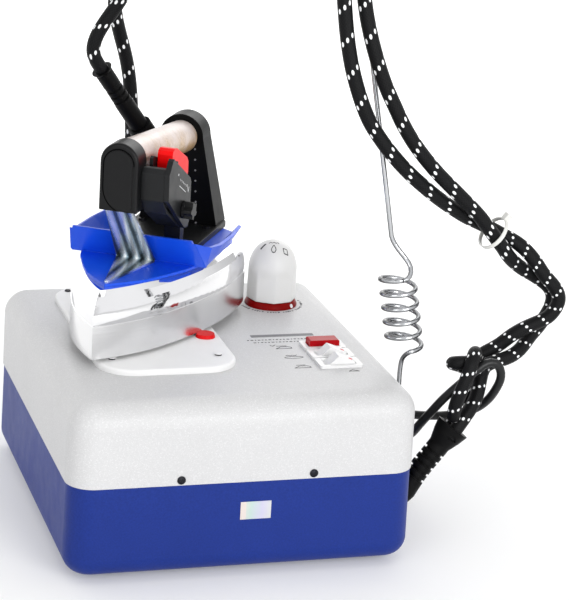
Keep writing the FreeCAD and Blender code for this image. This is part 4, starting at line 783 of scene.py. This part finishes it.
def disc(name, centre, normal, radius, height, look, body, sides=20):
    """Low disc with a chamfered rim."""
    normal = Vector(normal).normalized()
    side = normal.orthogonal().normalized()
    over = normal.cross(side)
    verts, faces = [], []
    for ring, z in ((radius, -height * 0.6), (radius, height * 0.55), (radius * 0.86, height)):
        for k in range(sides):
            angle = 2 * math.pi * k / sides
            spoke = side * math.cos(angle) + over * math.sin(angle)
            verts.append(Vector(centre) + spoke * ring + normal * z)
    for a in (0, sides):
        for k in range(sides):
            after = (k + 1) % sides
            faces.append((a + k, a + after, a + sides + after, a + sides + k))
    faces.append(tuple(range(2 * sides, 3 * sides)))
    faces.append(tuple(reversed(range(sides))))
    attach(new_mesh(name, verts, faces, look, smooth=False), body)


def surface(target):
    mesh = target.data
    return BVHTree.FromPolygons([vert.co.copy() for vert in mesh.vertices],
                                [tuple(face.vertices) for face in mesh.polygons])


def print_row(tree, place, middle, offset):
    """Raised and sunk points at a line's two edges, or None off the surface."""
    row = []
    for sign in (1, -1):
        start, ray = place(middle.x + offset.x * sign, middle.y + offset.y * sign)
        hit, normal, _, _ = tree.ray_cast(start, ray)
        if hit is None:
            return None
        if normal.dot(ray) > 0:
            normal = -normal
        row += [hit + normal * PRINT_RAISE, hit - normal * PRINT_SINK]
    return row


def printed(name, strokes, place, target, body, look, width=0.8):
    """Printed lines that follow a surface.

    strokes: flat polylines in millimetres, or pairs of polyline and width
    place: turns a flat point into a ray's start and direction
    """
    tree = surface(target)
    verts, faces = [], []
    for stroke in strokes:
        stroke, stroke_width = stroke if isinstance(stroke, tuple) else (stroke, width)
        points = [Vector(point) for point in stroke]
        line = [points[0]]
        for a, b in zip(points, points[1:]):
            count = max(1, int((b - a).length / PRINT_STEP))
            line += [a.lerp(b, k / count) for k in range(1, count + 1)]
        rows = []
        for k, middle in enumerate(line):
            run = line[min(k + 1, len(line) - 1)] - line[max(k - 1, 0)]
            offset = Vector((-run.y, run.x)).normalized() * (stroke_width / 2)
            row = print_row(tree, place, middle, offset)
            if row is None:
                break
            rows.append(row)
        # a line that leaves the surface at once has no length to draw
        if len(rows) < 2:
            continue
        first = len(verts)
        for row in rows:
            verts += row
        end = first + 4 * (len(rows) - 1)
        for a in range(first, end, 4):
            b = a + 4
            faces += [(a, a + 2, b + 2, b), (a + 1, b + 1, b + 3, a + 3),
                      (a, b, b + 1, a + 1), (a + 2, a + 3, b + 3, b + 2)]
        faces += [(first, first + 1, first + 3, first + 2), (end, end + 2, end + 3, end + 1)]
    attach(new_mesh(name, verts, faces, look, smooth=False), body)


def from_above(middle_x, middle_y):
    return lambda x, y: (Vector(((middle_x + x) / 1000, (middle_y + y) / 1000, 0.4)),
                         Vector((0, 0, -1)))


def closed(points):
    return points + [points[0]]


def arc(x, y, radius, start, end, count):
    """Points on an arc between two angles in degrees."""
    angles = [math.radians(start + (end - start) * k / count) for k in range(count + 1)]
    return [(x + radius * math.cos(angle), y + radius * math.sin(angle)) for angle in angles]


# ---------------------------------------------------------------- filler cap (mm)
CAP_X, CAP_Y, CAP_Z = 85.5, 84.0, 157.0
CAP_RADIUS, CAP_HEIGHT = 22.3, 53.0
CAP_SIDES = 128
CAP_FLATS, FLAT_DEPTH, FLAT_SHIFT = 8, 1.25, 0.18   # shift in parts of a flat
FLAT_FADE_Z, FLAT_FADE = 21, 10.0                   # the flats fade out over this height
WALL_HEIGHT = 22                                    # the dome curves in above this

CAP_LEVELS = ([0.0, 0.25, 0.9] + [2.5 + 1.5 * k for k in range(16)]
              + [27 + 1.3 * k for k in range(12)]
              + [43.0, 44.6, 46, 47.2, 48.3, 49.3, 50.2, 51.0, 51.7, 52.2, 52.55, 52.8, 52.93])
# radius and height of the hollow inside
CAP_HOLLOW = [(15.6, 0.0), (15.6, 30.0), (14.5, 36.0), (12.0, 42.0), (7.0, 46.0), (2.0, 47.5)]
HOLLOW_TOP = 47.7


def cap_radius(z):
    """Outer radius of the dome at height z over its foot."""
    if z <= WALL_HEIGHT:
        return CAP_RADIUS - 0.012 * z
    rise = min((z - WALL_HEIGHT) / (CAP_HEIGHT - WALL_HEIGHT), 1.0)
    return (CAP_RADIUS - 0.26) * (1 - rise ** 2.35) ** (1 / 2.05)


def cap_point(radius, angle, z):
    return Vector(((CAP_X + radius * math.cos(angle)) / 1000,
                   (CAP_Y + radius * math.sin(angle)) / 1000, (CAP_Z + z) / 1000))


def cap_dome():
    """Hollow smooth dome over eight shallow flats."""
    sides, verts, faces = CAP_SIDES, [], []
    angles = [2 * math.pi * k / sides for k in range(sides)]
    for z in CAP_LEVELS:
        fade = 1.0 if z < FLAT_FADE_Z else max(0.0, 1 - (z - FLAT_FADE_Z) / FLAT_FADE)
        fade = fade * fade * (3 - 2 * fade)
        foot_round = 0.55 if z < 0.2 else (0.18 if z < 0.5 else 0.0)
        for k, angle in enumerate(angles):
            across = (k * CAP_FLATS / sides + FLAT_SHIFT) % 1.0 - 0.5
            cut = FLAT_DEPTH * (1 - abs(2 * across) ** 2) * fade
            verts.append(cap_point(cap_radius(z) - cut - foot_round, angle, z))
    top = len(verts)
    verts.append(cap_point(0, 0, CAP_HEIGHT))
    inside = len(verts)
    for radius, z in CAP_HOLLOW:
        verts += [cap_point(radius, angle, z) for angle in angles]
    inside_top = len(verts)
    verts.append(cap_point(0, 0, HOLLOW_TOP))

    pairs = [(k, (k + 1) % sides) for k in range(sides)]
    last = top - sides
    for a in range(0, last, sides):
        faces += [(a + k, a + after, a + sides + after, a + sides + k) for k, after in pairs]
    for k, after in pairs:
        faces.append((last + k, last + after, top))
        faces.append((k, inside + k, inside + after, after))
    last = inside_top - sides
    for a in range(inside, last, sides):
        faces += [(a + after, a + k, a + sides + k, a + sides + after) for k, after in pairs]
    faces += [(last + after, last + k, inside_top) for k, after in pairs]
    ob = new_mesh("cap_dome_skin", verts, faces, LOOKS["cap"])
    attach(ob, "cap")
    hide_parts("safety_cap")
    return ob


dome = cap_dome()

CAP_FACING = math.radians(-107)
FACE_X, FACE_Y = math.cos(CAP_FACING), math.sin(CAP_FACING)


def on_dome(x, y):
    """x to the right and y towards the front, from the cap's axis."""
    return from_above(CAP_X, CAP_Y)(-FACE_Y * x + FACE_X * y, FACE_X * x + FACE_Y * y)


# drop, square, bar and waves
DROP = [(0, 9.0), (1.6, 11.6), (2.1, 13.2), (1.2, 14.8), (0, 15.2), (-1.2, 14.8),
        (-2.1, 13.2), (-1.6, 11.6)]
CAP_MARKS = [
    closed(DROP),
    closed([(8.2, 9.6), (11.6, 8.2), (12.8, 11.6), (9.4, 13.0)]),
    ([(-11.5, 9.2), (-7.2, 6.2)], 1.6),
    [(-4.5, 6.5), (-3.2, 5.2), (-1.6, 6.5), (0, 5.2), (1.6, 6.5), (3.2, 5.2), (4.5, 6.5)]]
printed("cap_marks", CAP_MARKS, on_dome, dome, "cap", LOOKS["mark"], width=0.65)


def ring_dot():
    """White dot on the front right of the cap's ring."""
    angle = math.radians(-52)
    outward = Vector((math.cos(angle), math.sin(angle), 0))
    start = Vector((CAP_X / 1000, CAP_Y / 1000, 0.1535)) + outward * 0.05
    hit, normal, _, _ = surface(NODES["cap_ring"]).ray_cast(start, -outward)
    disc("cap_ring_dot", hit, normal, radius=0.0019, height=0.0003,
         look=LOOKS["markwhite"], body="housing")


ring_dot()


# ---------------------------------------------------------------- prints on the top cover (mm)
def scale_ticks():
    """Scale round the front of the cap: short arcs every five degrees, each sixth left out."""
    ticks = []
    for k in range(37):
        if k % 6 == 5:
            continue
        start = -172 + 5.0 * k
        sweep = 3.2 if k % 3 else 2.0
        width = 1.5 if k % 4 else 2.2
        ticks.append((arc(0, 0, 27.6, start, start + sweep, 4), width))
    return ticks


def little_iron(x, y):
    return closed([(x - 7, y - 2.2), (x + 7, y - 2.2), (x + 7, y + 0.6),
                   (x + 4.5, y + 2.4), (x - 1.5, y + 2.4)])


def dash_row(x, end, y, shift):
    """Row of dashes of varied length."""
    dashes = []
    k = 0
    while x < end:
        length = (1.6, 2.4, 1.1, 2.0, 1.4)[(k + shift) % 5]
        dashes.append(([(x, y), (x + length, y)], 1.3))
        x += length + 1.5
        k += 1
    return dashes


def on_cover(name, strokes, place, look, width=0.8):
    printed(name, strokes, place, NODES["top_cover"], "housing", LOOKS[look],
            width)


OVAL_ANGLES = [2 * math.pi * k / 20 for k in range(20)]
PICTOGRAMS = [
    little_iron(64, -86), [(60, -81.5), (68, -81.5)],
    little_iron(62, -37), [(57, -32.6), (66, -32.6)], [(52, -30), (54, -32.4), (57, -29)],
    closed([(64 + 8 * math.cos(angle), -62 + 2.4 * math.sin(angle)) for angle in OVAL_ANGLES]),
    [(58, -57.5), (60, -56.2), (62, -57.5), (64, -56.2), (66, -57.5), (68, -56.2)],
    [(100, -101), (104, -97.6), (109, -101.4), (100, -101)]]
PICTOGRAMS += dash_row(36, 104, -15.5, shift=0) + dash_row(40, 84, -22.0, shift=1)

on_cover("cap_scale_print", scale_ticks(), from_above(CAP_X, CAP_Y), "mark")
on_cover("switch_pictograms", PICTOGRAMS, from_above(0, 0), "mark", width=0.7)
on_cover("switch_label_bar", [[(42, -5.2), (98, -5.2)]], from_above(0, 0), "greymark", width=6.0)

# red dots on the two white rockers
for label, rocker_y in (("front", -83.0), ("middle", -60.0)):
    start = Vector((0.1062, rocker_y / 1000 - 0.001, 0.3))
    hit, normal, _, _ = surface(NODES[label + "_rocker"]).ray_cast(start, Vector((0, 0, -1)))
    # no dot if the ray misses the rocker
    if hit is not None:
        disc(label + "_rocker_dot", hit, normal, radius=0.0019, height=0.00025,
             look=LOOKS["dotred"], body="rocker_" + label)

# screw plugs on the rest pad
for k, (x, y) in enumerate(((-2, -62), (-2, 121), (-92, -62))):
    disc("pad_plug_%d" % k, (x / 1000, y / 1000, 0.1574), (0, 0, 1), radius=0.0034,
         height=0.0005, look=LOOKS["pad"], body="housing", sides=28)


# ---------------------------------------------------------------- marks on the iron (mm)
def on_right_flank(along, height):
    return iron(along, 120, height), -RIGHTWARD


def on_tip_side(right, height):
    return iron(-20, right, height), HEELWARD


# ticks, lines and a small arrowhead on the switch box cover's right side
BOX_TICKS = [(88, 136.5), (92, 134.4), (96, 132.3), (100, 130.2), (104, 128.1)]
BOX_MARKS = [[(along, z), (along + 1.3, z - 2.2)] for along, z in BOX_TICKS]
BOX_MARKS += [[(86, 131), (104, 121.5)], ([(82, 141.5), (83.4, 140.8)], 1.6),
              [(108, 127), (111, 120), (113, 124)]]
printed("box_scale_print", BOX_MARKS, on_right_flank, NODES["switch_box_cover"], "iron",
        LOOKS["markwhite"], width=0.55)

# line round the front post's panel: round top and left foot, square right foot
PANEL_HALF, PANEL_TOP, PANEL_FOOT = 13.1, 152, 112.6    # top is the middle of the round top
FOOT_WIDTH, FOOT_HEIGHT = 17.6, 20.4                    # of the rounded left foot
FOOT_START = 133
panel = arc(0, PANEL_TOP, PANEL_HALF, 0, 180, 20) + [(-PANEL_HALF, FOOT_START)]
for k in range(1, 11):
    angle = math.radians(k * 9)
    panel.append((-PANEL_HALF + FOOT_WIDTH * (1 - math.cos(angle)),
                  FOOT_START - FOOT_HEIGHT * math.sin(angle)))
panel += [(PANEL_HALF, PANEL_FOOT), (PANEL_HALF, PANEL_TOP)]
printed("post_panel_line", [panel], on_tip_side, NODES["front_post"], "iron",
        LOOKS["groove"], width=0.9)

# column of small dots down the face of the rear post that looks to the tip
post_tree = surface(NODES["rear_post"])
for k in range(10):
    hit, normal, _, _ = post_tree.ray_cast(iron(150, 13 + 0.6 * k, 130 - 9.5 * k), HEELWARD)
    # no dot where the ray passes the post
    if hit is not None:
        disc("post_dot_%d" % k, hit, normal, radius=0.0009, height=0.0003,
             look=LOOKS["greymark"], body="iron", sides=12)


# ---------------------------------------------------------------- stage
def floor_material():
    """Pale floor that glows more towards the back."""
    mat = Mat("floor_pale")
    mat.set(color=mat.wear((0.80, 0.80, 0.80), amount=0.02, scale=2), rough=0.8, spec=0.1)
    place = mat.split(mat.node("NewGeometry").outputs["Position"])
    depth = mat.mul(mat.add(place[1], 0.0), 0.25)
    mat.set(glow_color=(1, 1, 1),
            glow=mat.ramp(depth, [(0.0, 0.16), (0.35, 0.55), (0.8, 0.8)]))
    return mat.material


def floor():
    """Flat floor that sweeps up into a wall at the back."""
    half, bend_y, bend_radius, wall_top, steps = 6, 3.0, 1.2, 5, 14
    verts = [(-half, -half, 0), (half, -half, 0), (half, bend_y, 0), (-half, bend_y, 0)]
    faces = [(0, 1, 2, 3)]
    first = len(verts)
    for k in range(1, steps + 1):
        angle = math.pi / 2 * k / steps
        y = bend_y + bend_radius * math.sin(angle)
        z = bend_radius - bend_radius * math.cos(angle)
        verts += [(-half, y, z), (half, y, z)]
    wall_y = bend_y + bend_radius
    verts += [(-half, wall_y, wall_top), (half, wall_y, wall_top)]
    left, right = 3, 2
    for i in range(first, len(verts), 2):
        faces.append((left, right, i + 1, i))
        left, right = i, i + 1
    new_mesh("floor", verts, faces, floor_material())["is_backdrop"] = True


def area(name, place, target, size, energy):
    light = bpy.data.lights.new(name, "AREA")
    light.energy = energy
    light.size = size
    ob = bpy.data.objects.new(name, light)
    bpy.context.scene.collection.objects.link(ob)
    ob.location = place
    aim = Vector(target) - Vector(place)
    ob.rotation_euler = aim.to_track_quat("-Z", "Y").to_euler()
    ob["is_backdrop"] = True


# the light tent's brightness round the horizon, with soft dark gaps: place, grey
TENT = ((0.035, 0.16), (0.09, 0.95), (0.22, 1.0), (0.30, 0.98), (0.335, 0.45), (0.36, 1.0),
        (0.52, 1.0), (0.60, 0.55), (0.68, 0.95), (0.90, 0.95))
TENT_ENDS = (0.62, 0.62, 0.63, 1)
TENT_DIFFUSE = (0.66, 0.66, 0.66)


def studio_world():
    """Even light on surfaces; glossy reflections see the light tent."""
    world = bpy.data.worlds.new("studio")
    bpy.context.scene.world = world
    world.use_nodes = True
    graph = Graph(world.node_tree)
    background = world.node_tree.nodes["Background"]
    background.inputs["Color"].default_value = (1, 1, 1, 1)
    background.inputs["Strength"].default_value = 1.0
    rays = graph.node("LightPath")
    direction = graph.split(graph.node("TexCoord").outputs["Generated"])
    angle = graph.math("ARCTAN2", direction[1], direction[0])
    horizon = graph.math("MULTIPLY_ADD", angle, 1 / (2 * math.pi), 0.5)
    tent = graph.node("ValToRGB")
    elements = tent.color_ramp.elements
    for index, position in ((0, 0.0), (1, 1.0)):
        elements[index].position = position
        elements[index].color = TENT_ENDS
    for position, grey in TENT:
        element = elements.new(position)
        element.color = (grey, grey, grey * 1.01, 1)
    graph.feed(tent.inputs[0], horizon)
    seen = graph.mix(rays.outputs["Is Glossy Ray"], TENT_DIFFUSE, tent.outputs["Color"])
    graph.feed(background.inputs["Color"], seen)


CAMERA_PLACE = Vector((-0.498565, -1.806521, 0.782014))
AZIMUTH, ELEVATION, ROLL = (math.radians(a) for a in (-17.52839, 17.59309, 3.62006))


def camera():
    """Long lens from the front left, looking down."""
    data = bpy.data.cameras.new("camera")
    ob = bpy.data.objects.new("camera", data)
    bpy.context.scene.collection.objects.link(ob)
    back = Vector((math.sin(AZIMUTH) * math.cos(ELEVATION),
                   -math.cos(AZIMUTH) * math.cos(ELEVATION), math.sin(ELEVATION)))
    forward = -back
    right = forward.cross(Vector((0, 0, 1))).normalized()
    up = right.cross(forward).normalized()
    rolled_right = right * math.cos(ROLL) + up * math.sin(ROLL)
    rolled_up = up * math.cos(ROLL) - right * math.sin(ROLL)
    rows = list(zip(rolled_right, rolled_up, back, CAMERA_PLACE))
    ob.matrix_world = Matrix(rows + [(0, 0, 0, 1)])
    data.sensor_width = 36
    data.sensor_fit = "AUTO"
    data.lens = 138.82
    data.clip_start = 0.01
    data.clip_end = 50
    bpy.context.scene.camera = ob
    ob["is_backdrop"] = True


floor()
area("key", (0.7, -2.3, 0.9), target=(0, 0, 0.15), size=1.3, energy=34)
area("fill", (-1.6, -1.6, 0.9), target=(0, 0, 0.2), size=1.2, energy=9)
area("top", (0.2, 0.2, 2.3), target=(0, 0, 0.2), size=1.6, energy=5)
area("rim", (1.0, 1.4, 1.2), target=(0, 0, 0.3), size=1.0, energy=6)
studio_world()
camera()
bpy.context.scene.view_settings.view_transform = "Standard"


def plain(bounds):
    return [list(x) if hasattr(x, "__len__") else x for x in bounds]


{"start": plain(START_BOUNDS), "end": plain(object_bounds())}
